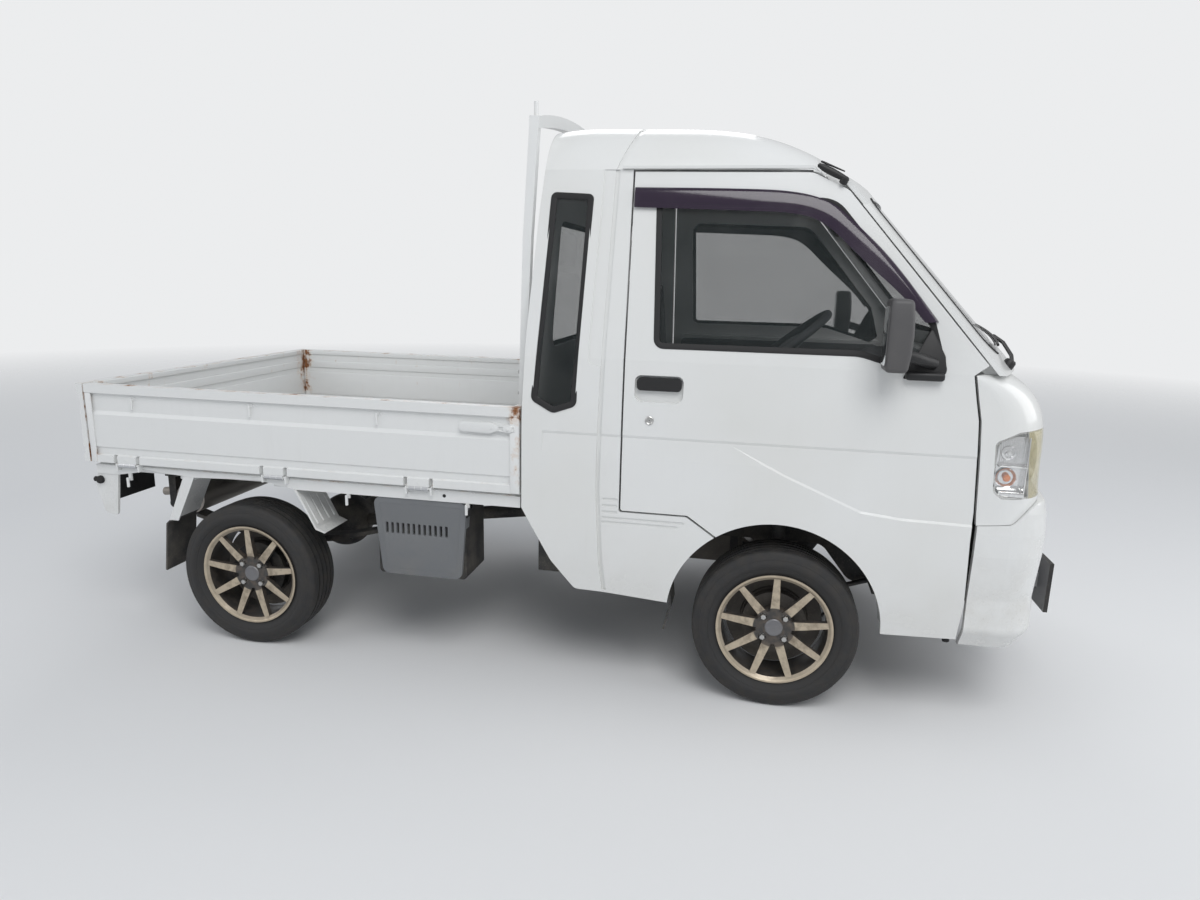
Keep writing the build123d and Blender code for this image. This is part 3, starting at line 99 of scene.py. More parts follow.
# Outlines with corner radii, in x and z on the cab's side
DOOR_WINDOW = (
    (528, 1166, 26), (1140, 1166, 160), (1345, 1105, 20), (1381, 1128, 14), (1340, 1262, 20),
    (1040, 1612, 90), (512, 1625, 40),
)
QUARTER_WINDOW = ((138, 985, 20), (207, 948, 24), (279, 973, 20), (306, 1622, 12), (178, 1628, 14))
DOOR_CARD = (
    (478, 690, 20), (706, 688, 12), (730, 604, 12), (768, 612, 20), (815, 636, 40), (870, 648, 60),
    (1010, 640, 60), (1120, 600, 60), (1208, 526, 60), (1266, 440, 60), (1294, 360, 10), (1378, 360, 20),
    (1378, 1098, 20), (478, 1098, 20),
)
# How deep inside the door's face its card stands, and the height up to which it follows the face
CARD_DEPTH = 69
CARD_TOP = 1100
LAMP_CELL = (
    (1554, 790, 24), (1602, 764, 24), (1636, 764, 4), (1636, 946, 4), (1602, 946, 24), (1554, 922, 24),
)
LATCH_LEVER = (
    (-113, 867, 12), (-4, 864, 10), (16, 872, 8), (26, 876, 3), (26, 888, 3), (16, 892, 8), (-4, 899, 10),
    (-113, 898, 12),
)
MIRROR_SAIL = ((1262, 1103, 4), (1352, 1099, 10), (1382, 1125, 10), (1376, 1172, 20), (1333, 1252, 6))
BATTERY_COVER = ((-414, 330, 26), (-122, 330, 26), (-99, 610, 26), (-443, 610, 26))
# The same in y and z
BACK_WINDOW = ((-470, 1130, 45), (470, 1130, 45), (450, 1560, 45), (-450, 1560, 45))
WINDSCREEN = ((-640, 1180, 50), (640, 1180, 50), (575, 1622, 45), (-575, 1622, 45))
MIRROR_GLASS = ((-768, 1148, 14), (-762, 1314, 20), (-838, 1314, 20), (-842, 1148, 14))

# Lines in x and z that the door visor is hung between
VISOR_TOP = ((440, 1646), (760, 1643), (925, 1636), (1030, 1606), (1100, 1545), (1212, 1441), (1350, 1268))
VISOR_LIP = ((440, 1587), (762, 1579), (935, 1574), (1020, 1542), (1118, 1448), (1258, 1330), (1312, 1266))
VISOR_THICKNESS = 2.2

# Places along the bed
LATCH_WIRE = (
    (20, -737, 889), (60, -738, 892), (78, -737, 889), (78, -737, 876), (60, -738, 871), (20, -737, 875),
)
END_PLATES = ((62, 94), (-1555, -1532))
GATE_HOOKS = (-1365, -890, -409)
GATE_HINGES = (-1408, -811, -264)
TAILGATE_X = -1580
TAILGATE_HINGES = (-500, 0, 500)
BARREL_Z = 656
BARREL_HALF = 36
FLOOR_RIBS = 11
FLOOR_RIB_PITCH = 124.8
GUARD_BEADS = 4
BATTERY_SLOTS = 12
# The gates' inner pressings: lowest and highest z, how far they are raised, and their rounding
GATE_PRESSINGS = ((862, 898, 8, 3.5), (718, 838, 6, 3), (932, 953, 9, 3))
# Lenses of the right rear lamp: name, outer and inner y, and finish
REAR_LENSES = (
    ("rear_amber", -698, -630, "amber"),
    ("rear_red", -626, -546, "red"),
    ("rear_clear", -542, -476, "reverse"),
)

# Places on the front and in the cab
MAIN_AIM = (1, -0.06, 0)
SIGNAL_AIM = (1, -0.04, 0)
PLATE_X = 1830
WIPER_FEET = (-575, 10)
WIPER_FOOT_Z = 1148
# Sideways from its foot, height and depth behind the glass
WIPER_ARM = ((0, 1150, -18), (60, 1166, -26), (190, 1196, -28), (270, 1212, -17))
MIRROR_HALF_HEIGHT = 102
VENT_HALF = 44
VENT_END = 618
SUN_VISORS = ((-540, -90), (90, 540))

# Profiles of turned pieces: radius and height along the axis
NUT = ((10.5, 0), (10.5, 11), (8.5, 14), (0, 15))
WASHER = ((11.2, -4), (11.2, 2), (9, 3))
WHEEL_CAP = ((29, -2), (29.5, 3), (27, 5.5), (22, 6), (20, 5), (8, 6), (0, 6.3))
VALVE = ((4, -14), (4, 2), (3, 4), (3, 12), (0, 13))
BRAKE_SHIELD = (
    (34, 0), (60, 6), (108, 6), (112, 0), (154, -2), (158, 3), (154, 1), (112, 3), (108, 9), (34, 9),
)
MAIN_BOWL = ((78, 0), (76, -2), (66, -20), (44, -34), (16, -40), (12, -40), (12, -34), (0, -34))
SIGNAL_BOWL = ((50, 0), (48, -2), (40, -18), (22, -30), (0, -33))
SIDE_SOCKET = ((22, 0), (20, 3), (15, 4), (13, -4), (8, -5), (8, 3), (0, 4))
SIDE_BOWL = ((30, 6), (27, 4), (18, -6), (6, -9), (0, -9))
MAIN_BULB = ((9, 0), (9, 24), (6, 30), (0, 32))
SIDE_BULB = ((6, 0), (7, 5), (5, 10), (0, 12))
SIDE_AMBER = ((6, 0), (10, 5), (11, 10), (8, 16), (0, 18))
SIGNAL_AMBER = ((6, 0), (12, 8), (12, 18), (8, 25), (0, 27))
LOCK_RING = ((13.5, -1), (13.5, 1), (11.5, 2.2), (9.5, 1), (8.5, 0.2), (1.5, 0.4), (1.5, -0.6), (0, -0.6))
WINDER_KNOB = ((9, 0), (11, 8), (9, 22), (0, 24))
WIPER_PIVOT = ((17, -16), (17, 4), (13, 10), (0, 12))
AERIAL_POD = ((0, 0), (6, 3), (10, 22), (11, 50), (9, 84), (6, 100), (0, 104))
AERIAL_MAST = ((0, 0), (3, 1), (3.4, 12), (2.4, 60), (2, 76), (0, 77))
AERIAL_FOOT = ((12, -10), (12, 4), (9, 9), (0, 10))
LATCH_PIN = ((5, -2), (5, 3), (3, 4), (0, 4))
LEVER_PIN = ((4, -2), (4, 2), (0, 2.4))
HOOK_BOLT = ((3.5, 0), (3.5, 2), (2, 3), (0, 3.2))
STRAP_RIVET = ((4, 0), (4, 1.5), (2, 2.6), (0, 3))
BARREL = (
    (0, 0), (7, 0), (9, 1.5), (9, 22), (8, 23), (8, 25), (9, 26), (9, 46), (8, 47), (8, 49), (9, 50),
    (9, 70.5), (7, 72), (0, 72),
)
RAIL_PLUG = ((6, 0), (6, 1), (4, 1.8), (0, 1.2))
REAR_STOP = ((15, -6), (15, 8), (12, 13), (0, 14))
REAR_STOP_END = ((10, 0), (10, 9), (7, 12), (0, 12))
GUARD_BOLT = ((7, 0), (7, 5), (5, 6.5), (0, 7))
PLATE_SCREW = ((7, 0), (7, 2), (4, 4), (0, 4.5))
DOOR_FOOT_BOLT = ((11, -3), (11, 6), (8, 10), (0, 11))
GEAR_KNOB = ((8, 0), (18, 10), (20, 24), (14, 38), (0, 42))

# Seat pads on the right: name, lowest and highest corner of the CAD solid, and how far the stuffing
# may lift, in metres
SEAT_PADS = (
    ("seat_cushion", (376, -578, 650), (930, -82, 806), 0.012),
    ("seat_back", (250, -563, 650), (468, -97, 1374), 0.012),
    ("seat_rest", (266, -442, 1392), (380, -218, 1550), 0.008),
)
CUSHION_WELT = ((470, -560, 776), (880, -560, 802), (880, -100, 802), (470, -100, 776))
BACK_WELT = ((440, -545, 820), (392, -545, 1340), (392, -115, 1340), (440, -115, 820))
PAD_SHRINK = 0.006
PAD_GRID = 0.006
PAD_PRESSURE = 4.0
PAD_FRAMES = 20

# Camera found from the photograph: place in millimetres, turns in radians, lens in millimetres
CAMERA_AT = (839.16, -3157.25, 1378.34)
CAMERA_YAW = 0.1933
CAMERA_PITCH = -0.2179
CAMERA_ROLL = 0.0227
CAMERA_LENS = 23.61
CAMERA_SENSOR = 36

# Area lights: name, place and size in metres, power in watts
LIGHTS = (
    ("key_light", (2.0, -4.6, 6.0), 4.0, 235.0),
    ("fill_light", (-5.5, -3.5, 3.5), 5.0, 70.0),
    ("back_light", (-1.5, 5.5, 5.0), 5.0, 120.0),
    ("nose_light", (6.0, -0.5, 3.0), 3.5, 85.0),
)
LIGHT_TARGET = (0, 0, 0.8)
SKY_LIGHT = (0.86, 0.92, 1.0, 1)
SKY_SEEN = (0.93, 0.94, 0.95, 1)
# Distances in metres at which the floor starts to fade and is gone
FLOOR_FADE = 3.6
FLOOR_END = 13.0

# Colours of dirt, rust and bare metal
ROAD_DUST = (0.34, 0.30, 0.24, 1)
RUST_DARK = (0.16, 0.055, 0.02, 1)
RUST_BRIGHT = (0.34, 0.15, 0.06, 1)
RUST_STAIN = (0.55, 0.33, 0.17, 1)
BARE_STEEL = (0.42, 0.42, 0.41, 1)
TYRE_DUST = (0.10, 0.085, 0.068, 1)
BRAKE_DUST = (0.07, 0.055, 0.045, 1)
WHEEL_DUST = (0.30, 0.24, 0.18, 1)
GLASS_DUST = (0.45, 0.44, 0.42, 1)
LENS_SEAM = (0.30, 0.28, 0.22, 1)
GLASS_IOR = 1.5


# Places on the truck


def at(x, y, z):
    """A place of the truck in metres."""
    return Vector(((x - MID_X) / 1000, y / 1000, z / 1000))


def path(*places):
    """Several places of the truck in metres."""
    return [at(*place) for place in places]


def half_width(z):
    """Half-width of the cab's side surface at a height."""
    for (y0, z0), (y1, z1) in zip(CAB_SIDE, CAB_SIDE[1:]):
        if z <= z1:
            return y0 + (y1 - y0) * (z - z0) / (z1 - z0)
    return CAB_SIDE[-1][0]


def on_side(x, z, depth):
    """A place on the cab's right side, a depth under its surface."""
    return at(x, depth - half_width(z), z)


def on_screen(y, z, depth):
    """A place on the bowed windscreen, a level depth behind its face."""
    radius = GLASS_BOW - depth
    x = GLASS_BASE_X + (GLASS_BASE_Z - z) * GLASS_SLOPE - GLASS_BOW + math.sqrt(radius**2 - y**2)
    return at(x, y, z)


def on_back(y, z, depth):
    """A place on the cab's back wall, a depth in front of its face."""
    for (x0, z0), (x1, z1) in zip(CAB_REAR, CAB_REAR[1:]):
        if z <= z1:
            break
    return at(x0 + (x1 - x0) * (z - z0) / (z1 - z0) + depth, y, z)


def on_nose(y, z, depth):
    """A place on the bowed nose, a level depth behind its face."""
    return at(NOSE_X - depth - y * y / NOSE_BOW, y, z)


def outline(corners, inset=0, steps=5):
    """Points round a closed outline with rounded corners, moved inwards by an inset."""
    points = []
    count = len(corners)
    area = sum(a[0] * b[1] - b[0] * a[1] for a, b in zip(corners, corners[1:] + corners[:1]))
    turn = 1 if area > 0 else -1
    for i, corner in enumerate(corners):
        here = Vector(corner[:2])
        before = (Vector(corners[i - 1][:2]) - here).normalized()
        after = (Vector(corners[(i + 1) % count][:2]) - here).normalized()
        half = before.angle(after) / 2
        middle = (before + after).normalized()
        convex = (before.x * after.y - before.y * after.x) * turn < 0
        sign = 1 if convex else -1
        here = here + middle * (sign * inset / math.sin(half))
        radius = max(corner[2] - sign * inset, 2)
        centre = here + middle * (radius / math.sin(half))
        start = here + before * (radius / math.tan(half)) - centre
        sweep = (math.pi - 2 * half) * (turn if convex else -turn)
        for step in range(steps + 1):
            arc = Matrix.Rotation(sweep * step / steps, 2) @ start
            points.append(centre + arc)
    return points


def box_outline(low, high, radius):
    """Corners of a rounded rectangle, for outline."""
    (a0, b0), (a1, b1) = low, high
    return (a0, b0, radius), (a1, b0, radius), (a1, b1, radius), (a0, b1, radius)


def facing_side(corners, y, inset=0, steps=5):
    """An outline in x and z, standing at one distance from the truck's middle."""
    return [at(x, y, z) for x, z in outline(corners, inset, steps)]


def facing_ahead(corners, x, inset=0):
    """An outline in y and z, standing at one place along the truck."""
    return [at(x, y, z) for y, z in outline(corners, inset)]


def eased(corners, rounds=3):
    """Points along an open line with its corners cut ever finer."""
    points = [Vector(corner) for corner in corners]
    for _ in range(rounds):
        cut = [points[0]]
        for a, b in zip(points, points[1:]):
            cut += [a * 0.75 + b * 0.25, a * 0.25 + b * 0.75]
        points = cut + [points[-1]]
    return points


# Modelling by hand


def clear():
    """Leaves edit mode and deselects everything."""
    if bpy.context.object and bpy.context.object.mode != "OBJECT":
        bpy.ops.object.mode_set(mode="OBJECT")
    bpy.ops.object.select_all(action="DESELECT")


def take(piece):
    """Makes one piece the only selected one."""
    clear()
    piece.select_set(True)
    bpy.context.view_layer.objects.active = piece


@contextmanager
def editing(kind=None):
    """Edit mode with all of the active piece selected, by the kind of element that is named."""
    bpy.ops.object.mode_set(mode="EDIT")
    if kind:
        bpy.ops.mesh.select_mode(type=kind)
    bpy.ops.mesh.select_all(action="SELECT")
    yield
    bpy.ops.object.mode_set(mode="OBJECT")


def done(piece=None):
    """Puts a piece's place into its mesh."""
    piece = piece or bpy.context.object
    take(piece)
    bpy.ops.object.transform_apply(location=True, rotation=True, scale=True)
    return piece


def apply_modifier(piece, kind, **values):
    """Adds a modifier and applies it."""
    take(piece)
    modifier = piece.modifiers.new(kind.title(), kind)
    for name, value in values.items():
        setattr(modifier, name, value)
    bpy.ops.object.modifier_apply(modifier=modifier.name)


def soften(piece, width, segments=2, angle=30, smooth=40):
    """Rounds the piece's sharp edges and smooths its shading."""
    apply_modifier(piece, "BEVEL", width=width / 1000, segments=segments, limit_method="ANGLE",
                   angle_limit=math.radians(angle), harden_normals=False)
    bpy.ops.object.shade_smooth_by_angle(angle=math.radians(smooth))
    return piece


def block(name, low, high):
    """Plain block between two corners, in millimetres, to be shaped further."""
    clear()
    a, b = at(*low), at(*high)
    bpy.ops.mesh.primitive_cube_add(size=1, location=(a + b) / 2, scale=b - a)
    piece = done()
    piece.name = name
    return piece


def bar(name, low, high, round_off=3.0):
    """Moulded block between two corners, in millimetres, with rounded edges."""
    return soften(block(name, low, high), round_off, 3)


def draw(name, points, closed=False):
    """A line drawn from point to point by extruding one vertex."""
    clear()
    bpy.ops.mesh.primitive_plane_add(size=0.001, location=points[0])
    piece = bpy.context.object
    piece.name = name
    with editing("VERT"):
        bpy.ops.mesh.merge(type="CENTER")
        for here, there in zip(points, points[1:]):
            bpy.ops.mesh.extrude_region_move(TRANSFORM_OT_translate={"value": there - here})
    if closed:
        for vertex in piece.data.vertices:
            vertex.select = vertex.index in (0, len(points) - 1)
        bpy.ops.object.mode_set(mode="EDIT")
        bpy.ops.mesh.edge_face_add()
        bpy.ops.object.mode_set(mode="OBJECT")
    return done(piece)


def pipe(name, points, radius, closed=False, smooth=2):
    """Round bar, rubber or wire along a drawn line."""
    piece = draw(name, points, closed)
    bpy.ops.object.convert(target="CURVE")
    piece = bpy.context.object
    piece.data.bevel_depth = radius / 1000
    piece.data.bevel_resolution = smooth
    piece.data.use_fill_caps = True
    bpy.ops.object.convert(target="MESH")
    bpy.ops.object.shade_smooth_by_angle(angle=math.radians(50))
    return done()


def joined(name, pieces):
    """Several pieces as one."""
    clear()
    for piece in pieces:
        piece.select_set(True)
    bpy.context.view_layer.objects.active = pieces[0]
    if len(pieces) > 1:
        bpy.ops.object.join()
    pieces[0].name = name
    return pieces[0]


def band(name, outer, inner, thick, round_off=1.5):
    """Flat strip between two closed lines, with a thickness to both sides and rounded edges."""
    piece = joined(name, [draw(name, outer, True), draw(name + "_inner", inner, True)])
    with editing():
        bpy.ops.mesh.bridge_edge_loops()
        bpy.ops.mesh.normals_make_consistent(inside=False)
    apply_modifier(piece, "SOLIDIFY", thickness=thick / 1000, offset=0, use_even_offset=True)
    return done(soften(piece, round_off))


def plate(name, points, thick, round_off=1.0):
    """Flat piece inside a closed line, with a thickness to both sides and rounded edges."""
    piece = draw(name, points, True)
    with editing():
        bpy.ops.mesh.edge_face_add()
    apply_modifier(piece, "SOLIDIFY", thickness=thick / 1000, offset=0)
    return done(soften(piece, round_off))


def turned(name, profile, centre, axis, steps=48):
    """Piece of revolution: a profile of (radius, height along the axis) spun round the axis."""
    normal = Vector(axis).normalized()
    side = normal.orthogonal().normalized()
    middle = at(*centre)
    piece = draw(name, [middle + side * (r / 1000) + normal * (h / 1000) for r, h in profile])
    with editing():
        bpy.ops.mesh.spin(steps=steps, angle=2 * math.pi, center=middle, axis=normal)
        bpy.ops.mesh.select_all(action="SELECT")
        bpy.ops.mesh.remove_doubles(threshold=0.00001)
        bpy.ops.mesh.normals_make_consistent(inside=False)
    bpy.ops.object.shade_smooth_by_angle(angle=math.radians(35))
    return done(piece)


def copied(piece, name, matrix):
    """Copy of a piece with its own mesh, moved by a matrix; a mirrored one has its faces turned back."""
    take(piece)
    bpy.ops.object.duplicate()
    other = bpy.context.object
    other.name = name
    other.data.transform(matrix)
    if matrix.determinant() < 0:
        with editing():
            bpy.ops.mesh.flip_normals()
    return other


ACROSS = Matrix.Scale(-1, 4, (0, 1, 0))


def finish_piece(piece, body, finish):
    """Gives a finished piece its material and its CAD body."""
    piece.data.materials.clear()
    piece.data.materials.append(MATERIALS[finish])
    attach(piece, body)
    return piece


def finish_both(piece, body, finish):
    """The same for a right-hand piece and its mirror image on the left; body has {} for the side."""
    name = piece.name
    left = copied(piece, name + "_left", ACROSS)
    piece.name = name + "_right"
    finish_piece(piece, body.format("right"), finish)
    finish_piece(left, body.format("left"), finish)
    return piece, left


# Materials


class Shader:
    """A node tree being wired: adds nodes and connects values or sockets to their inputs."""

    def __init__(self, tree):
        self.tree = tree

    def add(self, kind, settings=None, **inputs):
        node = self.tree.nodes.new(kind)
        for name, value in (settings or {}).items():
            setattr(node, name, value)
        for name, value in inputs.items():
            self.set(node, name.replace("_", " "), value)
        return node

    def link(self, value, socket):
        self.tree.links.new(value, socket)

    def set(self, node, name, value):
        """Puts a value or a link into an input, named by its title or by i and its number."""
        numbered = name[0] == "i" and name[1:].isdigit()
        socket = node.inputs[int(name[1:])] if numbered else node.inputs[name]
        if isinstance(value, bpy.types.NodeSocket):
            self.link(value, socket)
        else:
            socket.default_value = value

    def math(self, operation, a, b=0.0, clamp=False):
        node = self.add("ShaderNodeMath", {"operation": operation, "use_clamp": clamp}, i0=a, i1=b)
        return node.outputs[0]

    def times(self, a, b, clamp=False):
        return self.math("MULTIPLY", a, b, clamp)

    def plus(self, a, b, clamp=False):
        return self.math("ADD", a, b, clamp)

    def mix(self, amount, a, b):
        node = self.add("ShaderNodeMix", {"data_type": "RGBA"}, i0=amount, i6=a, i7=b)
        return node.outputs[2]

    def blend(self, amount, a, b):
        node = self.add("ShaderNodeMix", {"data_type": "FLOAT"}, i0=amount, i2=a, i3=b)
        return node.outputs[0]

    def ramp(self, value, low, high):
        node = self.add("ShaderNodeMapRange", None, i0=value, i1=low, i2=high)
        return node.outputs[0]

    def noise(self, vector, scale, detail=3.0, rough=0.5):
        settings = {"Scale": scale, "Detail": detail, "Roughness": rough}
        return self.add("ShaderNodeTexNoise", None, Vector=vector, **settings).outputs[0]

    def place(self, scale=(1, 1, 1)):
        """Object coordinates, stretched."""
        spot = self.add("ShaderNodeTexCoord")
        node = self.add("ShaderNodeMapping", None, Vector=spot.outputs["Object"], Scale=scale)
        return node.outputs[0]

    def split(self, vector):
        node = self.add("ShaderNodeSeparateXYZ", None, Vector=vector)
        return node.outputs

    def bump(self, height, strength, distance):
        node = self.add("ShaderNodeBump", None, Height=height, Strength=strength, Distance=distance)
        return node.outputs[0]


def new_group(name, inputs, outputs):
    """Empty node group with named inputs and outputs; returns it with its ends."""
    group = bpy.data.node_groups.new(name, "ShaderNodeTree")
    for title, kind, default in inputs:
        socket = group.interface.new_socket(title, in_out="INPUT", socket_type="NodeSocket" + kind)
        socket.default_value = default
    for title, kind in outputs:
        group.interface.new_socket(title, in_out="OUTPUT", socket_type="NodeSocket" + kind)
    shader = Shader(group)
    return group, shader, shader.add("NodeGroupInput").outputs, shader.add("NodeGroupOutput").inputs


def build_grain():
    """Fine moulded or cast grain."""
    group, s, given, out = new_group(
        "Moulded grain", [("Scale", "Float", 900.0), ("Strength", "Float", 0.3)], [("Normal", "Vector")])
    spot = s.place()
    cells = s.add("ShaderNodeTexVoronoi", None, Vector=spot, Scale=given["Scale"]).outputs["Distance"]
    height = s.plus(cells, s.times(s.noise(spot, 220.0), 0.6))
    s.link(s.bump(height, given["Strength"], 0.0004), out["Normal"])
    return group


def build_road_film():
    """Dust and splash: more of it low down, in streaks and blotches."""
    group, s, given, out = new_group(
        "Road film",
        [
            ("Color", "Color", (1, 1, 1, 1)),
            ("Dust", "Color", ROAD_DUST),
            ("Roughness", "Float", 0.3),
            ("Amount", "Float", 0.5),
            ("Height", "Float", 0.55),
        ],
        [("Color", "Color"), ("Roughness", "Float"), ("Mask", "Float")])
    spot = s.place()
    height = s.split(spot)[2]
    low = s.math("SUBTRACT", 1.0, s.ramp(height, 0.12, given["Height"]), True)
    blotch = s.ramp(s.noise(spot, 9.0, 6.0, 0.6), 0.42, 0.72)
    streak = s.ramp(s.noise(s.place((9, 9, 0.7)), 6.0, 4.0), 0.5, 0.8)
    speck = s.ramp(s.noise(spot, 160.0, 2.0), 0.6, 0.75)
    mask = s.times(low, s.plus(s.times(blotch, 0.5), s.times(speck, 0.35)))
    mask = s.plus(mask, s.times(s.times(streak, blotch), 0.10))
    mask = s.times(mask, given["Amount"], True)
    s.link(s.mix(mask, given["Color"], given["Dust"]), out["Color"])
    s.link(s.blend(mask, given["Roughness"], 0.85), out["Roughness"])
    s.link(mask, out["Mask"])
    return group


def build_rust():
    """Rust breaking through: a mask of small patches and runs, to be limited by its Where input."""
    group, s, given, out = new_group(
        "Rust patches",
        [("Color", "Color", (1, 1, 1, 1)), ("Where", "Float", 0.0), ("Size", "Float", 18.0)],
        [("Color", "Color"), ("Mask", "Float")])
    spot = s.place()
    patch = s.noise(spot, given["Size"], 8.0, 0.65)
    reach = s.plus(patch, s.times(given["Where"], 0.34))
    mask = s.times(s.ramp(reach, 0.72, 0.80), s.ramp(given["Where"], 0.0, 0.2), True)
    halo = s.times(s.ramp(reach, 0.62, 0.74), s.ramp(given["Where"], 0.0, 0.3), True)
    tone = s.mix(s.ramp(s.noise(spot, 140.0, 4.0), 0.35, 0.65), RUST_DARK, RUST_BRIGHT)
    stained = s.mix(s.times(halo, 0.4), given["Color"], RUST_STAIN)
    s.link(s.mix(mask, stained, tone), out["Color"])
    s.link(mask, out["Mask"])
    return group


def build_weave():
    """Woven cloth: colour variation and thread relief on object coordinates."""
    group, s, given, out = new_group(
        "Seat weave",
        [
            ("Color", "Color", (0.1, 0.1, 0.1, 1)),
            ("Second", "Color", (0.2, 0.2, 0.2, 1)),
            ("Scale", "Float", 700.0),
        ],
        [("Color", "Color"), ("Normal", "Vector")])
    spot = s.place()
    x, y, z = s.split(spot)
    over = s.math("SINE", s.times(y, given["Scale"]))
    under = s.math("SINE", s.times(s.plus(x, z), given["Scale"]))
    weave = s.times(over, under)
    speck = s.ramp(s.noise(spot, 420.0, 2.0), 0.45, 0.62)
    shade = s.mix(speck, given["Color"], given["Second"])
    s.link(s.mix(s.ramp(s.noise(spot, 7.0, 3.0), 0.3, 0.8), shade, given["Color"]), out["Color"])
    s.link(s.bump(weave, 0.35, 0.0006), out["Normal"])
    return group


def build_wear():
    """Rubbed and scratched marks as a mask."""
    group, s, given, out = new_group(
        "Scratches", [("Amount", "Float", 0.5), ("Scale", "Float", 14.0)], [("Mask", "Float")])
    drift = s.noise(s.place((1, 1, 8)), given["Scale"], 6.0, 0.7)
    lines = s.noise(s.place((2, 2, 60)), given["Scale"], 3.0, 0.6)
    mask = s.times(s.ramp(drift, 0.5, 0.7), s.ramp(lines, 0.52, 0.6))
    s.link(s.times(mask, given["Amount"], True), out["Mask"])
    return group


GROUPS = {}


def build_groups():
    """Builds each shared effect once."""
    GROUPS["grain"] = build_grain()
    GROUPS["film"] = build_road_film()
    GROUPS["rust"] = build_rust()
    GROUPS["weave"] = build_weave()
    GROUPS["wear"] = build_wear()


def use(shader, name, **inputs):
    """Places a shared effect in a material."""
    node = shader.add("ShaderNodeGroup", {"node_tree": GROUPS[name]})
    for title, value in inputs.items():
        shader.set(node, title, value)
    return node.outputs


def new_material(name):
    """Material with one Principled shader; returns it, its wiring and the shader node."""
    material = bpy.data.materials.new(name)
    material.use_nodes = True
    principled = material.node_tree.nodes["Principled BSDF"]
    return material, Shader(material.node_tree), principled


def coloured(color):
    """A property's colour as a shader colour."""
    return (color[0], color[1], color[2], 1.0)


def filmed(s, shader, color, amount, height, rough):
    """Lays road film over a colour, wires both to the shader and returns what the film puts out."""
    film = use(s, "film", Color=color, Amount=amount, Height=height, Roughness=rough)
    s.set(shader, "Base Color", film["Color"])
    s.set(shader, "Roughness", film["Roughness"])
    return film


def grained(s, shader, scale, strength):
    """Gives the shader a moulded grain."""
    s.set(shader, "Normal", use(s, "grain", Scale=scale, Strength=strength)["Normal"])


def make_paint(name, color, film, height=0.55):
    """White body paint: soft orange peel under a clear coat, with road film low down."""
    material, s, shader = new_material(name)
    spot = s.place()
    # Blotches of a slightly darker, warmer white, placed by noise
    darker_warm_patch = (color[0] * 0.96, color[1] * 0.955, color[2] * 0.94, 1)
    tone = s.mix(s.ramp(s.noise(spot, 2.2, 3.0), 0.35, 0.7), coloured(color), darker_warm_patch)
    filmed(s, shader, tone, film, height, 0.24)
    s.set(shader, "Normal", s.bump(s.noise(spot, 260.0, 2.0), 0.05, 0.0006))
    s.set(shader, "Coat Weight", 0.5)
    s.set(shader, "Coat Roughness", 0.08)
    return material


def make_bed_paint(name, color):
    """Bed paint: duller, scratched inside, rusting along top edges and floor."""
    material, s, shader = new_material(name)
    spot = s.place()
    x, y, z = s.split(spot)
    normal = s.split(s.add("ShaderNodeNewGeometry").outputs["Normal"])
    across = s.math("ABSOLUTE", y)
    inward = s.times(s.times(y, normal[1]), -8.0, True)
    rear = s.times(s.ramp(x, -1.64, -1.672), s.ramp(normal[0], 0.3, 0.9))
    inner_face = s.math("MAXIMUM", inward, rear)
    top_edge = s.times(s.ramp(z, 0.915, 0.95), s.ramp(normal[2], 0.2, 0.9))
    floor = s.times(s.ramp(normal[2], 0.7, 0.95), s.ramp(z, 0.72, 0.66))
    low_sides = s.times(s.ramp(across, 0.66, 0.705), s.ramp(z, 0.6, 0.66))
    front_corner = s.times(low_sides, s.times(s.ramp(x, -0.12, -0.05), s.ramp(z, 0.66, 0.7)))
    runs = s.ramp(s.noise(s.place((3.0, 3.0, 0.35)), 7.0, 5.0, 0.7), 0.52, 0.7)
    stained_wall = s.times(s.times(inner_face, s.ramp(z, 0.66, 0.9)), runs)
    rear_end = s.times(s.ramp(x, -1.60, -1.67), s.ramp(across, 0.60, 0.70))
    where = s.plus(s.times(top_edge, 0.42), s.times(floor, 0.30))
    for place, share in ((front_corner, 0.4), (stained_wall, 0.52), (s.times(rear_end, inner_face), 0.62)):
        where = s.plus(where, s.times(place, share), True)
    dirt = use(s, "film", Color=coloured(color), Amount=0.55, Height=0.72, Roughness=0.38)
    scratch = use(s, "wear", Amount=s.times(floor, 0.8), Scale=9.0)["Mask"]
    tone = s.mix(scratch, dirt["Color"], BARE_STEEL)
    rust = use(s, "rust", Color=tone, Where=where, Size=16.0)
    s.set(shader, "Base Color", rust["Color"])
    s.set(shader, "Roughness", s.blend(rust["Mask"], dirt["Roughness"], 0.9))
    s.set(shader, "Normal", s.bump(s.plus(s.noise(spot, 120.0, 4.0), rust["Mask"]), 0.12, 0.0008))
    s.set(shader, "Coat Weight", 0.2)
    return material


def make_plastic(name, color, rough, scale, strength, film, height):
    """Moulded plastic or rubber with grain and a little dust."""
    material, s, shader = new_material(name)
    filmed(s, shader, coloured(color), film, height, rough)
    grained(s, shader, scale, strength)
    return material


def make_mirror_body(name, head, foot):
    """Door mirror: grey head, black sail and arm."""
    material, s, shader = new_material(name)
    side = s.math("ABSOLUTE", s.split(s.place())[1])
    tone = s.mix(s.ramp(side, 0.744, 0.748), coloured(foot), coloured(head))
    filmed(s, shader, tone, 0.2, 1.4, 0.5)
    grained(s, shader, 900.0, 0.3)
    return material


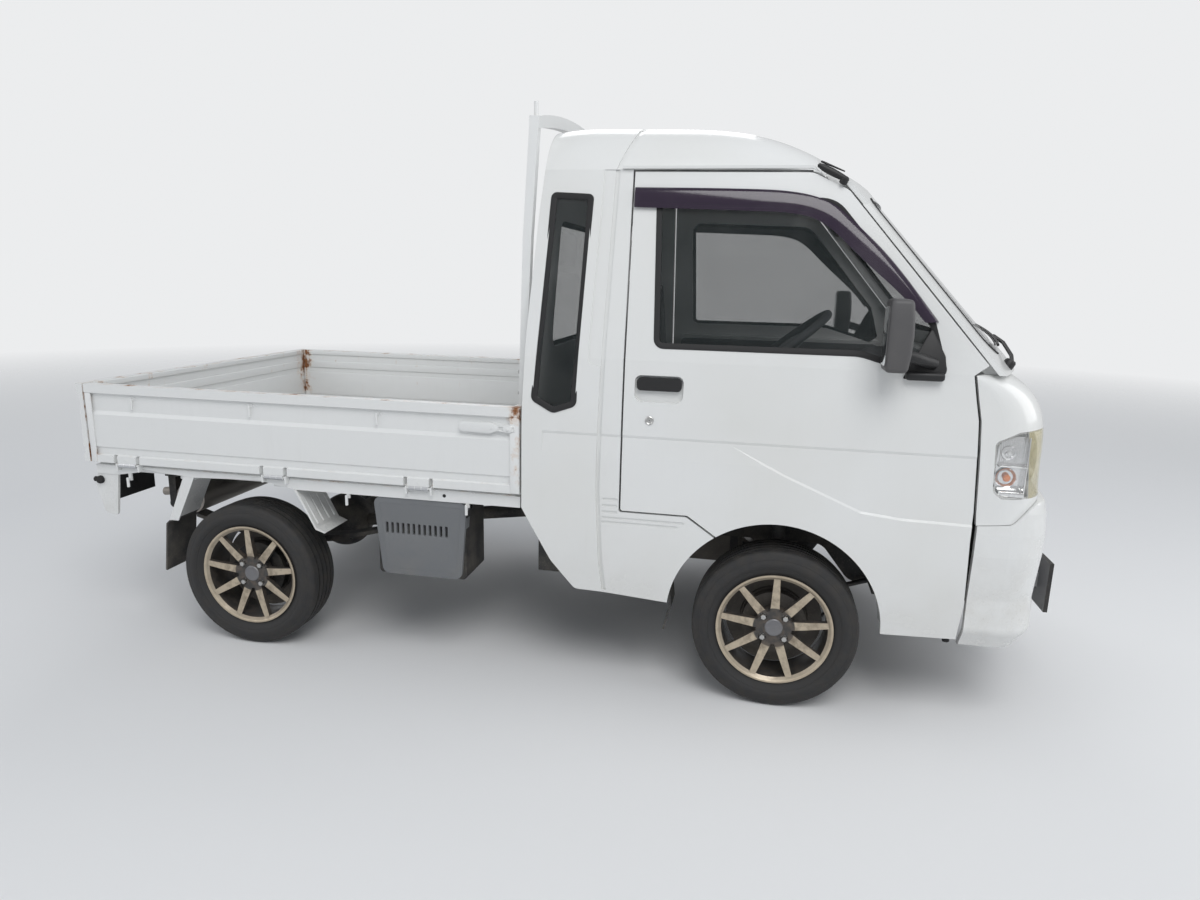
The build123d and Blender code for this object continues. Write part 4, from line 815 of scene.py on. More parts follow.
def make_metal(name, color, rough, film, metallic, scale, strength):
    """Metal with grain, dirt and rubbed marks."""
    material, s, shader = new_material(name)
    mark = use(s, "wear", Amount=0.5, Scale=20.0)["Mask"]
    rubbed = coloured([min(part * 1.5, 1) for part in color])
    dirt = filmed(s, shader, s.mix(mark, coloured(color), rubbed), film, 0.6, rough)
    s.set(shader, "Metallic", s.times(s.math("SUBTRACT", 1.0, dirt["Mask"]), metallic))
    grained(s, shader, scale, strength)
    return material


def make_glass(name, color, alpha, rough, dusty):
    """Thin window or lens glass: mostly seen through, glossy, with a breath of dust."""
    material, s, shader = new_material(name)
    spot = s.place()
    dust = s.ramp(s.noise(spot, 5.0, 5.0, 0.6), 0.45, 0.8)
    s.set(shader, "Base Color", s.mix(s.times(dust, dusty), coloured(color), GLASS_DUST))
    s.set(shader, "Alpha", s.plus(alpha, s.times(dust, 0.03), True))
    s.set(shader, "Roughness", s.plus(rough, s.times(dust, 0.05)))
    s.set(shader, "IOR", GLASS_IOR)
    s.set(shader, "Specular IOR Level", 0.6)
    return material


def wheel_radius(s):
    """Distance from the nearest wheel's centre, and sideways place, in object coordinates."""
    x, y, z = s.split(s.place())
    along = s.math("SUBTRACT", s.math("ABSOLUTE", s.plus(x, MID_X / 1000)), WHEELBASE / 2000)
    up = s.math("SUBTRACT", z, TYRE_RADIUS / 1000)
    away = s.math("SQRT", s.plus(s.times(along, along), s.times(up, up)))
    return away, s.math("ABSOLUTE", y)


def make_tyre_rubber(name, color):
    """Tyre rubber: raised rings on the side wall, brown dust in the tread."""
    material, s, shader = new_material(name)
    away, _ = wheel_radius(s)
    spot = s.place()
    inner_ring = s.ramp(s.math("ABSOLUTE", s.math("SUBTRACT", away, 0.214)), 0.0016, 0.0008)
    outer_ring = s.ramp(s.math("ABSOLUTE", s.math("SUBTRACT", away, 0.243)), 0.0018, 0.001)
    fine_rings = s.times(s.math("SINE", s.times(away, 2600.0)), s.times(s.ramp(away, 0.246, 0.2475), 0.18))
    rings = s.plus(s.plus(inner_ring, outer_ring), fine_rings)
    dust = s.ramp(s.noise(spot, 22.0, 6.0, 0.65), 0.4, 0.75)
    share = s.plus(0.14, s.times(s.ramp(away, 0.19, 0.27), 0.24))
    s.set(shader, "Base Color", s.mix(s.times(dust, share), coloured(color), TYRE_DUST))
    s.set(shader, "Roughness", s.blend(dust, 0.62, 0.85))
    relief = s.plus(rings, s.times(s.noise(spot, 700.0, 2.0), 0.1))
    s.set(shader, "Normal", s.bump(relief, 0.7, 0.0015))
    return material


def make_alloy(name, face_reflection_color, pocket_color):
    """Alloy wheel: machined spoke faces in a tan that is a painted reflection of the ground, dark pockets,
    brake dust round the hub.
    """
    material, s, shader = new_material(name)
    away, side = wheel_radius(s)
    spot = s.place()
    turn = s.split(s.add("ShaderNodeNewGeometry").outputs["Normal"])[1]
    facing = s.ramp(s.math("ABSOLUTE", turn), 0.62, 0.8)
    spoke = s.times(facing, s.ramp(away, 0.066, 0.069))
    spoke = s.times(spoke, s.ramp(side, 0.694, 0.697))
    lip = s.times(s.ramp(away, 0.176, 0.179), s.ramp(side, 0.700, 0.704))
    machined = s.math("MAXIMUM", spoke, lip)
    dust = s.ramp(s.noise(spot, 40.0, 6.0, 0.6), 0.42, 0.72)
    # The tan on the machined faces is a painted reflection of the ground on bright metal
    tone = s.mix(machined, coloured(pocket_color), coloured(face_reflection_color))
    tone = s.mix(s.times(dust, s.ramp(away, 0.2, 0.03)), tone, BRAKE_DUST)
    tone = s.mix(s.times(dust, 0.22), tone, WHEEL_DUST)
    s.set(shader, "Base Color", tone)
    s.set(shader, "Metallic", s.times(machined, 0.55))
    s.set(shader, "Roughness", s.blend(dust, 0.34, 0.6))
    s.set(shader, "Normal", s.bump(s.noise(spot, 300.0, 2.0), 0.08, 0.0004))
    return material


def make_headlamp_lens(name, clear, yellow):
    """Headlamp lens: clear round the side, yellowed and clouded over the main lamp, ribbed upright."""
    material, s, shader = new_material(name)
    spot = s.place()
    x, y, z = s.split(spot)
    border = s.math("SUBTRACT", x, s.times(s.math("SUBTRACT", 0.956, z), 0.128))
    front = s.ramp(border, 1.5055, 1.5085)
    cloud = s.ramp(s.noise(spot, 14.0, 5.0, 0.6), 0.3, 0.75)
    seam = s.times(s.ramp(border, 1.5035, 1.5055), s.ramp(border, 1.5105, 1.5085))
    tone = s.mix(front, coloured(clear), coloured(yellow))
    s.set(shader, "Base Color", s.mix(s.times(seam, 0.6), tone, LENS_SEAM))
    haze = s.plus(s.times(cloud, 0.16), 0.24)
    s.set(shader, "Alpha", s.plus(s.blend(front, 0.10, haze), s.times(seam, 0.35), True))
    s.set(shader, "Roughness", s.blend(front, 0.03, 0.22))
    wave = s.math("SINE", s.times(s.plus(x, y), 1300.0))
    s.set(shader, "Normal", s.bump(s.times(wave, s.blend(front, 0.2, 1.0)), 0.16, 0.0006))
    s.set(shader, "IOR", GLASS_IOR)
    return material


def make_plate_holder(name, frame, stay):
    """Licence plate's dark frame and the grey stay behind it."""
    material, s, shader = new_material(name)
    x = s.split(s.place())[0]
    tone = s.mix(s.ramp(x, 1.6992, 1.6998), coloured(stay), coloured(frame))
    filmed(s, shader, tone, 0.5, 0.7, 0.45)
    grained(s, shader, 600.0, 0.2)
    return material


def make_lamp_glass(name, color, alpha, ribs):
    """Moulded lens: upright ribs and a tint."""
    material, s, shader = new_material(name)
    x, y, _ = s.split(s.place())
    wave = s.math("SINE", s.times(s.plus(x, y), ribs))
    s.set(shader, "Base Color", coloured(color))
    s.set(shader, "Alpha", alpha)
    s.set(shader, "Roughness", s.ramp(s.noise(s.place(), 30.0, 4.0), 0.2, 3.0))
    s.set(shader, "Normal", s.bump(wave, 0.25, 0.0008))
    s.set(shader, "IOR", GLASS_IOR)
    return material


def make_cloth(name, color, second):
    """Woven seat cloth."""
    material, s, shader = new_material(name)
    weave = use(s, "weave", Color=coloured(color), Second=coloured(second), Scale=900.0)
    s.set(shader, "Base Color", weave["Color"])
    s.set(shader, "Normal", weave["Normal"])
    s.set(shader, "Roughness", 0.9)
    s.set(shader, "Sheen Weight", 0.3)
    return material


MATERIALS = {}


def build_materials():
    """Builds every finish of the truck from the colours in the panel."""
    truck = bpy.context.scene.kei_truck_colours
    MATERIALS.update({
        "paint": make_paint("White paint", truck.body, film=0.35),
        "low_paint": make_paint("White paint, splashed", truck.body, film=0.9, height=0.75),
        "bed_paint": make_bed_paint("Bed paint", truck.body),
        "glass": make_glass("Window glass", (0.012, 0.02, 0.021), alpha=0.30, rough=0.02, dusty=0.10),
        "visor": make_glass("Smoked visor", truck.visor, alpha=0.90, rough=0.10, dusty=0.06),
        "tyre": make_tyre_rubber("Tyre rubber", (0.022, 0.022, 0.023)),
        "alloy": make_alloy("Alloy", truck.spoke_ground_reflection, truck.wheel_pocket),
        "lens": make_headlamp_lens("Headlamp lens", (0.86, 0.88, 0.88), truck.lens),
        "mirror_body": make_mirror_body("Mirror plastic", truck.grey_trim, truck.trim),
        "plate_holder": make_plate_holder("Plate holder", truck.trim, (0.28, 0.28, 0.29)),
        "cloth": make_cloth("Seat cloth", (0.030, 0.031, 0.034), (0.065, 0.066, 0.070)),
    })
    # Roughness, scale and strength of the grain, amount of road film and the height that it reaches
    plastics = (
        ("chassis_and_box_shade", "Chassis paint and box shade", truck.chassis_and_box_shade, 0.6, 300.0, 0.25, 0.9, 0.8),
        ("black", "Black plastic", truck.trim, 0.5, 900.0, 0.25, 0.2, 0.6),
        ("rubber", "Window rubber", truck.trim, 0.68, 500.0, 0.12, 0.2, 1.2),
        ("box_grey", "Battery box plastic", (0.165, 0.172, 0.18), 0.6, 600.0, 0.3, 0.5, 0.6),
        ("cabin", "Cabin plastic", (0.13, 0.13, 0.135), 0.62, 700.0, 0.4, 0.1, 0.9),
        ("cabin_light", "Light cabin plastic", (0.30, 0.30, 0.29), 0.62, 700.0, 0.4, 0.1, 0.9),
        ("flap", "Flap rubber", (0.045, 0.045, 0.045), 0.75, 250.0, 0.2, 0.8, 0.8),
        ("mirror_shell", "Mirror shell", truck.grey_trim, 0.5, 1100.0, 0.35, 0.3, 1.5),
        ("blank", "Blank plate", (0.80, 0.80, 0.77), 0.4, 200.0, 0.05, 0.4, 0.6),
    )
    for finish, name, color, rough, scale, strength, film, height in plastics:
        MATERIALS[finish] = make_plastic(name, color, rough, scale, strength, film, height)
    # Roughness, amount of road film, metallic share, scale and strength of the grain
    metals = (
        ("steel", "Bright steel", (0.52, 0.52, 0.51), 0.3, 0.2, 1.0, 500.0, 0.2),
        ("dull_steel", "Dull steel", (0.30, 0.28, 0.26), 0.5, 0.7, 1.0, 500.0, 0.2),
        ("cast", "Cast metal", (0.12, 0.11, 0.10), 0.65, 0.8, 0.6, 300.0, 0.5),
        ("chrome", "Lamp chrome", (0.78, 0.78, 0.78), 0.08, 0.0, 1.0, 500.0, 0.2),
        ("zinc", "Zinc plating", (0.60, 0.61, 0.63), 0.38, 0.3, 0.9, 500.0, 0.2),
        ("mirror", "Mirror glass", (0.85, 0.87, 0.88), 0.03, 0.0, 1.0, 500.0, 0.2),
        ("cap", "Wheel cap", (0.20, 0.20, 0.21), 0.4, 0.4, 0.6, 500.0, 0.2),
        ("lamp_bowl", "Lamp bowl", (0.62, 0.62, 0.60), 0.2, 0.1, 1.0, 500.0, 0.2),
    )
    for finish, name, color, rough, film, metallic, scale, strength in metals:
        MATERIALS[finish] = make_metal(name, color, rough, film, metallic, scale, strength)
    for finish, name, color, alpha, ribs in (
        ("amber", "Amber lens", (0.80, 0.22, 0.03), 0.85, 1400.0),
        ("red", "Red lens", (0.42, 0.012, 0.012), 0.95, 1400.0),
        ("reverse", "Reversing lens", (0.75, 0.75, 0.72), 0.9, 1400.0),
        ("bulb", "Bulb glass", (0.9, 0.9, 0.88), 0.5, 10.0),
    ):
        MATERIALS[finish] = make_lamp_glass(name, color, alpha, ribs)


# Finish of every CAD node
NODE_FINISHES = {
    "paint": (
        "cab_back", "roof", "windscreen_frame", "front_panel", "cab_side_right", "cab_side_left",
        "door_right", "door_left",
    ),
    "low_paint": ("front_bumper", "rear_mudguards"),
    "bed_paint": ("bed_floor", "side_gate_right", "side_gate_left", "tailgate", "guard_frame"),
    # Chassis black; on the battery box's CAD block it is painted shade round the grey cover
    "chassis_and_box_shade": (
        "frame", "cross_members", "cab_floor", "rear_axle", "leaf_springs", "front_suspension", "fuel_tank",
        "battery_box",
    ),
    "mirror_body": ("mirror_right", "mirror_left"),
    "black": ("door_handle_right", "door_handle_left", "tail_lamps"),
    "plate_holder": ("licence_plate",),
    "lamp_bowl": ("headlamp_housings",),
    "cabin": ("dashboard", "steering_wheel", "seats"),
    "flap": ("mud_flaps",),
    "glass": ("windscreen", "rear_windows", "door_glass_right", "door_glass_left"),
    "visor": ("door_visor_right", "door_visor_left"),
    "tyre": ("tyre_front_right", "tyre_front_left", "tyre_rear_right", "tyre_rear_left"),
    "alloy": ("rim_front_right", "rim_front_left", "rim_rear_right", "rim_rear_left"),
    "cast": ("engine_block", "knuckle_right", "knuckle_left"),
    "dull_steel": ("exhaust",),
    "lens": ("headlamps",),
}


# Pieces


def color_property(name, description, default):
    """A colour that the panel shows."""
    return bpy.props.FloatVectorProperty(
        name=name, description=description, default=default, subtype="COLOR", size=3, min=0, max=1)


class TruckColours(bpy.types.PropertyGroup):
    """Colours of the truck that a user may change."""

    body: color_property("Body", "White of the cab and bed", (0.78, 0.785, 0.775))
    # Underbody black, also used as painted shade on the battery box round its cover
    chassis_and_box_shade: color_property("Chassis", "Underbody paint", (0.02, 0.02, 0.021))
    trim: color_property("Trim", "Black trim and rubbers", (0.012, 0.012, 0.013))
    grey_trim: color_property("Grey trim", "Mirror heads", (0.085, 0.083, 0.085))
    visor: color_property("Visor", "Smoked door visors", (0.022, 0.011, 0.030))
    lens: color_property("Lens", "Yellowed headlamp lens", (0.80, 0.73, 0.48))
    # Tan of the machined spokes: a painted reflection of the ground
    spoke_ground_reflection: color_property("Wheel face", "Machined faces of the spokes", (0.54, 0.46, 0.35))
    wheel_pocket: color_property("Wheel pockets", "Dark paint between the spokes", (0.045, 0.042, 0.04))
    floor: color_property("Floor", "Studio floor", (0.80, 0.80, 0.80))


class TruckSizes(bpy.types.PropertyGroup):
    """Sizes of the trim that a user may change."""

    rubber_width: bpy.props.FloatProperty(
        name="Rubber width", description="Visible width of the window rubbers, in millimetres", default=18.0,
        min=6.0, max=30.0)
    rubber_thickness: bpy.props.FloatProperty(
        name="Rubber thickness", description="Thickness of the window rubbers, in millimetres", default=5.0,
        min=2.0, max=10.0)
    floor_size: bpy.props.FloatProperty(
        name="Floor size", description="Side of the studio floor", default=60.0, min=10.0, max=200.0,
        unit="LENGTH")
    wiper_length: bpy.props.FloatProperty(
        name="Wiper length", description="Length of a wiper blade, in millimetres", default=430.0, min=200.0,
        max=500.0)


class PaintNodes(bpy.types.Operator):
    """Gives every CAD node its finish."""

    bl_idname = "kei_truck.paint_nodes"
    bl_label = "Paint the CAD nodes"

    def execute(self, context):
        build_groups()
        build_materials()
        for finish, names in NODE_FINISHES.items():
            for name in names:
                node = NODES[name]
                node.data.materials.clear()
                node.data.materials.append(MATERIALS[finish])
        return {"FINISHED"}


class WindowRubbers(bpy.types.Operator):
    """Black rubbers round the door, quarter and back windows and the windscreen."""

    bl_idname = "kei_truck.window_rubbers"
    bl_label = "Window rubbers"

    def execute(self, context):
        sizes = context.scene.kei_truck_sizes
        thick = sizes.rubber_thickness
        lap = 5
        for name, corners, body, width in (
            ("door_rubber", DOOR_WINDOW, "door_{}", sizes.rubber_width),
            ("quarter_rubber", QUARTER_WINDOW, "truck", sizes.rubber_width + 2),
        ):
            outer = [on_side(x, z, 0) for x, z in outline(corners, -lap)]
            inner = [on_side(x, z, 4) for x, z in outline(corners, width - lap)]
            finish_both(band(name, outer, inner, thick), body, "rubber")
        outer = [on_screen(y, z, -1) for y, z in outline(WINDSCREEN, -6)]
        inner = [on_screen(y, z, 5) for y, z in outline(WINDSCREEN, 22)]
        finish_piece(band("windscreen_rubber", outer, inner, thick), "truck", "rubber")
        outer = [on_back(y, z, -1) for y, z in outline(BACK_WINDOW, -6)]
        inner = [on_back(y, z, 8) for y, z in outline(BACK_WINDOW, 16)]
        finish_piece(band("back_rubber", outer, inner, thick), "truck", "rubber")
        return {"FINISHED"}


class WheelTrim(bpy.types.Operator):
    """Wheel nuts, centre cap and valve on each wheel."""

    bl_idname = "kei_truck.wheel_trim"
    bl_label = "Wheel trim"

    def execute(self, context):
        for end, axle in AXLES.items():
            face = -WHEEL_FACE[end]
            body = f"wheel_{end}_{{}}"
            nuts = []
            for i in range(NUTS):
                angle = math.radians(360 / NUTS * i + 45)
                along = NUT_CIRCLE * math.sin(angle)
                up = NUT_CIRCLE * math.cos(angle)
                middle = (axle + along, face + 20, TYRE_RADIUS + up)
                nuts.append(turned("nut", NUT, middle, RIGHTWARD, 6))
                nuts.append(turned("washer", WASHER, middle, RIGHTWARD, 24))
            finish_both(joined(f"wheel_nuts_{end}", nuts), body, "steel")
            cap = turned(f"wheel_cap_{end}", WHEEL_CAP, (axle, face + 16, TYRE_RADIUS), RIGHTWARD)
            finish_both(cap, body, "cap")
            foot = (axle + 150, face + 26, TYRE_RADIUS + 55)
            valve = turned(f"valve_{end}", VALVE, foot, (-0.3, -1, -0.1), 16)
            finish_both(valve, body, "rubber")
        return {"FINISHED"}


class HeadlampInsides(bpy.types.Operator):
    """Reflectors, sockets and bulbs behind the headlamps' lenses."""

    bl_idname = "kei_truck.headlamp_insides"
    bl_label = "Headlamp insides"

    def execute(self, context):
        bowls = [
            turned("lamp_bowl", MAIN_BOWL, (1688, -560, 862), MAIN_AIM, 64),
            turned("signal_bowl", SIGNAL_BOWL, (1708, -418, 862), SIGNAL_AIM),
            turned("side_socket", SIDE_SOCKET, (1584, -704, 896), RIGHTWARD, 40),
            turned("side_bowl", SIDE_BOWL, (1584, -706, 822), RIGHTWARD, 40),
        ]
        panel = [
            plate("side_panel", facing_side(LAMP_CELL, -702), 2),
            bar("side_sill", (1562, -729, 768), (1634, -700, 784), 3),
        ]
        for x in range(1562, 1632, 6):
            panel.append(pipe("flute", path((x, -703, 866), (x + 1, -703, 936)), 1.6))
        bowls += [
            joined("side_panel", panel),
            bar("side_shelf", (1556, -730, 857), (1634, -700, 861), 1),
            bar("side_wall", (1632, -724, 764), (1635, -672, 946), 1),
        ]
        finish_both(joined("lamp_reflectors", bowls), "truck", "chrome")
        clear_bulbs = [
            turned("main_bulb", MAIN_BULB, (1652, -560, 862), MAIN_AIM, 24),
            turned("side_bulb", SIDE_BULB, (1584, -708, 896), RIGHTWARD, 24),
        ]
        finish_both(joined("clear_bulbs", clear_bulbs), "truck", "bulb")
        amber_bulbs = [
            turned("side_amber", SIDE_AMBER, (1584, -706, 822), RIGHTWARD, 24),
            turned("signal_amber", SIGNAL_AMBER, (1680, -418, 862), SIGNAL_AIM, 24),
        ]
        finish_both(joined("amber_bulbs", amber_bulbs), "truck", "amber")
        return {"FINISHED"}


class DoorTrim(bpy.types.Operator):
    """Lock ring, inner door panels with their handles, and the rubber under the window."""

    bl_idname = "kei_truck.door_trim"
    bl_label = "Door trim"

    def execute(self, context):
        finish_both(turned("lock", LOCK_RING, (521, -737, 937), RIGHTWARD, 40), "door_{}", "steel")
        card = [at(x, CARD_DEPTH - half_width(min(z, CARD_TOP)), z) for x, z in outline(DOOR_CARD)]
        pull = path((1100, -652, 1010), (1096, -640, 1016), (1040, -640, 1022), (1036, -652, 1018))
        inside = [
            plate("door_card", card, 5, 2),
            bar("arm_rest", (600, -668, 905), (1020, -622, 945), 14),
            pipe("door_pull", pull, 7),
            pipe("winder_arm", path((1180, -652, 880), (1150, -640, 852), (1120, -634, 826)), 7),
            turned("winder_knob", WINDER_KNOB, (1120, -634, 826), LEFTWARD, 24),
        ]
        finish_both(joined("door_inside", inside), "door_{}", "cabin")
        belt = pipe("belt_rubber", [on_side(x, 1156, 8) for x in (516, 800, 1090)], 5)
        finish_both(belt, "door_{}", "rubber")
        return {"FINISHED"}


class Wipers(bpy.types.Operator):
    """Two wipers resting along the foot of the windscreen."""

    bl_idname = "kei_truck.wipers"
    bl_label = "Wipers"

    def execute(self, context):
        length = context.scene.kei_truck_sizes.wiper_length
        for i, start in enumerate(WIPER_FEET):
            blade = [(start + 70 + length * t / 8, 1196 + 5 * t) for t in range(9)]
            rise = GLASS_BASE_Z - WIPER_FOOT_Z
            foot = GLASS_BASE_X + rise * GLASS_SLOPE - start**2 / (2 * GLASS_BOW) + 8
            wiper = [
                pipe("arm", [on_screen(start + y, z, depth) for y, z, depth in WIPER_ARM], 6),
                pipe("blade", [on_screen(y, z, -12) for y, z in blade], 4.5),
                pipe("blade_rubber", [on_screen(y, z, -4) for y, z in blade], 2.5),
                turned("pivot", WIPER_PIVOT, (foot, start, WIPER_FOOT_Z), (0.55, 0, 1), 32),
            ]
            finish_piece(joined(f"wiper_{i}", wiper), "truck", "black")
        return {"FINISHED"}


class RoofTrim(bpy.types.Operator):
    """Folded aerial on the right pillar."""

    bl_idname = "kei_truck.roof_trim"
    bl_label = "Roof trim"

    def execute(self, context):
        aerial = [
            turned("aerial_pod", AERIAL_POD, (979, -640, 1712), (0.87, -0.06, -0.44), 24),
            turned("aerial_mast", AERIAL_MAST, (988, -633, 1722), (0.86, -0.05, -0.36), 16),
            turned("aerial_foot", AERIAL_FOOT, (1058, -646, 1668), (0.3, -0.5, 0.8), 24),
        ]
        finish_piece(joined("aerial", aerial), "truck", "black")
        return {"FINISHED"}


class GateFittings(bpy.types.Operator):
    """Lever latches, end plates, hook feet, hinge straps and rail plugs of the drop sides."""

    bl_idname = "kei_truck.gate_fittings"
    bl_label = "Gate fittings"

    def execute(self, context):
        latch = [
            plate("latch_lever", facing_side(LATCH_LEVER, -737), 5, 1.8),
            pipe("latch_wire", path(*LATCH_WIRE), 2.6, True),
            bar("latch_block", (40, -741, 872), (72, -727, 891), 3),
            turned("latch_pin", LATCH_PIN, (56, -741, 881.5), RIGHTWARD, 20),
            turned("lever_pin", LEVER_PIN, (2, -739.5, 882), RIGHTWARD, 20),
        ]
        finish_both(joined("latch", latch), "side_gate_{}", "bed_paint")
        ends = []
        for front, back in END_PLATES:
            corners = box_outline((front, 664), (back, 921), 3)
            ends.append(plate("end_plate", facing_side(corners, -734), 5, 1.2))
        finish_both(joined("gate_ends", ends), "side_gate_{}", "bed_paint")
        feet = []
        for x in GATE_HOOKS:
            feet.append(bar("hook_foot", (x - 9, -727.5, 900), (x + 9, -724, 914), 1.5))
            feet.append(turned("hook_bolt", HOOK_BOLT, (x + 14, -725, 906), RIGHTWARD, 16))
        finish_both(joined("gate_hooks", feet), "side_gate_{}", "bed_paint")
        straps = []
        for x in GATE_HINGES:
            straps.append(bar("hinge_strap", (x - 17, -733, 655), (x + 17, -729, 684), 1.5))
            straps.append(turned("strap_rivet", STRAP_RIVET, (x, -733, 674), RIGHTWARD, 16))
        finish_both(joined("hinge_straps", straps), "side_gate_{}", "bed_paint")
        plugs = [
            turned("rail_plug", RAIL_PLUG, (-177, -717, 632), RIGHTWARD, 20),
            turned("rear_stop", REAR_STOP, (-1546, -714, 590), RIGHTWARD, 28),
            turned("rear_stop_end", REAR_STOP_END, (-1570, -706, 588), BACKWARD, 24),
        ]
        finish_both(joined("rail_plugs", plugs), "truck", "rubber")
        return {"FINISHED"}


class BedInside(bpy.types.Operator):
    """Raised ribs of the bed's floor and front wall, and the guard frame's bolts."""

    bl_idname = "kei_truck.bed_inside"
    bl_label = "Bed inside"

    def execute(self, context):
        ribs = [bar("floor_rib", (-1545, -632, 653), (58, -616, 659), 2.5)]
        for i in range(1, FLOOR_RIBS):
            step = Matrix.Translation((0, i * FLOOR_RIB_PITCH / 1000, 0))
            ribs.append(copied(ribs[0], "floor_rib", step))
        finish_piece(joined("floor_ribs", ribs), "truck", "bed_paint")
        wall = []
        for z in (730, 810, 890):
            wall.append(bar("wall_rib", (66, -640, z - 9), (73, 640, z + 9), 3))
        for y in (-640, 0, 620):
            wall.append(bar("wall_post", (67, y, 662), (72, y + 22, 948), 2))
        finish_piece(joined("front_wall_ribs", wall), "truck", "bed_paint")
        bolts = []
        for z in (990, 1060):
            for y in (-647, 647):
                bolts.append(turned("guard_bolt", GUARD_BOLT, (71, y, z), BACKWARD, 6))
        finish_piece(joined("guard_bolts", bolts), "truck", "steel")
        return {"FINISHED"}


class FrontTrim(bpy.types.Operator):
    """Grille and intake bars, the blank plate with its screws, and the door feet's bolts."""

    bl_idname = "kei_truck.front_trim"
    bl_label = "Front trim"

    def execute(self, context):
        grilles = []
        for z in (815, 831, 847):
            grilles.append(pipe("slat", [on_nose(y, z, 12) for y in range(-296, 297, 37)], 4))
        back = outline(box_outline((-299, 797), (299, 865), 8))
        grilles.append(plate("grille_back", [on_nose(y, z, 40) for y, z in back], 3))
        for z in (374, 396, 418):
            grilles.append(pipe("intake_slat", [on_nose(y, z, -24) for y in range(-148, 179, 27)], 4))
        back = outline(box_outline((-156, 346), (186, 446), 22))
        grilles.append(plate("intake_back", [on_nose(y, z, 0) for y, z in back], 3))
        finish_piece(joined("front_grilles", grilles), "truck", "black")
        corners = box_outline((-473, 332), (-157, 483), 6)
        finish_piece(plate("plate_face", facing_ahead(corners, PLATE_X), 1.6, 0.4), "truck", "blank")
        screws = [turned("plate_screw", PLATE_SCREW, (PLATE_X, y, 466), FORWARD, 20) for y in (-420, -210)]
        finish_piece(joined("plate_screws", screws), "truck", "steel")
        bolt = turned("door_foot_bolt", DOOR_FOOT_BOLT, (1479, -690, 286), (0, -0.3, -1), 20)
        finish_both(bolt, "truck", "rubber")
        return {"FINISHED"}


class RearLamps(bpy.types.Operator):
    """Lenses of the rear lamps: amber, red and clear."""

    bl_idname = "kei_truck.rear_lamps"
    bl_label = "Rear lamps"

    def execute(self, context):
        for name, outer, inner, finish in REAR_LENSES:
            finish_both(bar(name, (-1573, outer, 506), (-1566, inner, 584), 3), "truck", finish)
        return {"FINISHED"}


class CabInside(bpy.types.Operator):
    """Instrument hood, vents, radio, levers, pedals, mirror and sun visors."""

    bl_idname = "kei_truck.cab_inside"
    bl_label = "Cab inside"

    def execute(self, context):
        dark = [
            bar("hood", (1180, -470, 1080), (1330, -190, 1128), 22),
            pipe("stalk_right", path((1035, -370, 1050), (1020, -450, 1078), (1015, -490, 1088)), 6),
            pipe("stalk_left", path((1035, -290, 1050), (1020, -215, 1078), (1015, -175, 1088)), 6),
        ]
        for y in (-600, -150, 150, 600):
            right = max(y - VENT_HALF, -VENT_END)
            left = min(y + VENT_HALF, VENT_END)
            for z in (1018, 1034, 1050):
                dark.append(bar("vent_slat", (1219, right, z), (1238, left, z + 5), 1.5))
        dark += [
            pipe("gear_stick", path((1215, -80, 880), (1160, -84, 930), (1130, -86, 985)), 7),
            turned("gear_knob", GEAR_KNOB, (1130, -86, 978), (-0.3, 0, 1), 24),
            pipe("hand_brake", path((900, -30, 668), (800, -30, 735), (690, -30, 790)), 12),
        ]
        for y in (-230, -330, -420):
            dark.append(bar("pedal", (1380, y - 28, 520), (1392, y + 28, 590), 5))
            dark.append(pipe("pedal_arm", path((1386, y, 560), (1430, y, 660), (1470, y, 780)), 6))
        dark += [
            bar("inside_mirror", (1150, -115, 1560), (1172, 115, 1615), 10),
            pipe("mirror_stem", path((1172, 0, 1600), (1195, 0, 1630)), 6),
        ]
        finish_piece(joined("cab_trim", dark), "truck", "cabin")
        pale = []
        for right, left in SUN_VISORS:
            corners = outline(box_outline((right, 1560), (left, 1668), 20))
            leaning = [at(1120 - (z - 1600) * 0.9, y, z + 6) for y, z in corners]
            pale.append(plate("sun_visor", leaning, 12, 4))
        pale.append(bar("radio", (1212, -70, 930), (1232, 110, 985), 4))
        finish_piece(joined("cab_pale_trim", pale), "truck", "cabin_light")
        return {"FINISHED"}


class Visors(bpy.types.Operator):
    """Smoked rain visors in place of their CAD strips: a flange, a shoulder and a hanging lip."""

    bl_idname = "kei_truck.visors"
    bl_label = "Door visors"

    def execute(self, context):
        top = eased(VISOR_TOP)
        lip = eased(VISOR_LIP)
        shoulder = [a + (b - a) * 0.16 for a, b in zip(top, lip)]
        middle = [a + (b - a) * 0.6 for a, b in zip(top, lip)]
        rows = ((top, 0), (top, -3), (shoulder, -9), (middle, -11), (lip, -9))
        strips = []
        for pair in zip(rows, rows[1:]):
            lines = []
            for row, depth in pair:
                lines.append(draw("visor_line", [on_side(place.x, place.y, depth) for place in row]))
            strips.append(joined("visor_strip", lines))
            with editing():
                bpy.ops.mesh.bridge_edge_loops()
        visor = joined("door_visor", strips)
        with editing("FACE"):
            bpy.ops.mesh.remove_doubles(threshold=0.00002)
            bpy.ops.mesh.normals_make_consistent(inside=False)
        apply_modifier(visor, "SOLIDIFY", thickness=VISOR_THICKNESS / 1000, offset=0)
        bpy.ops.object.shade_smooth_by_angle(angle=math.radians(50))
        right, left = finish_both(done(visor), "door_{}", "visor")
        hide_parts("door_visor_right")
        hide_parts("door_visor_left")
        return {"FINISHED"}


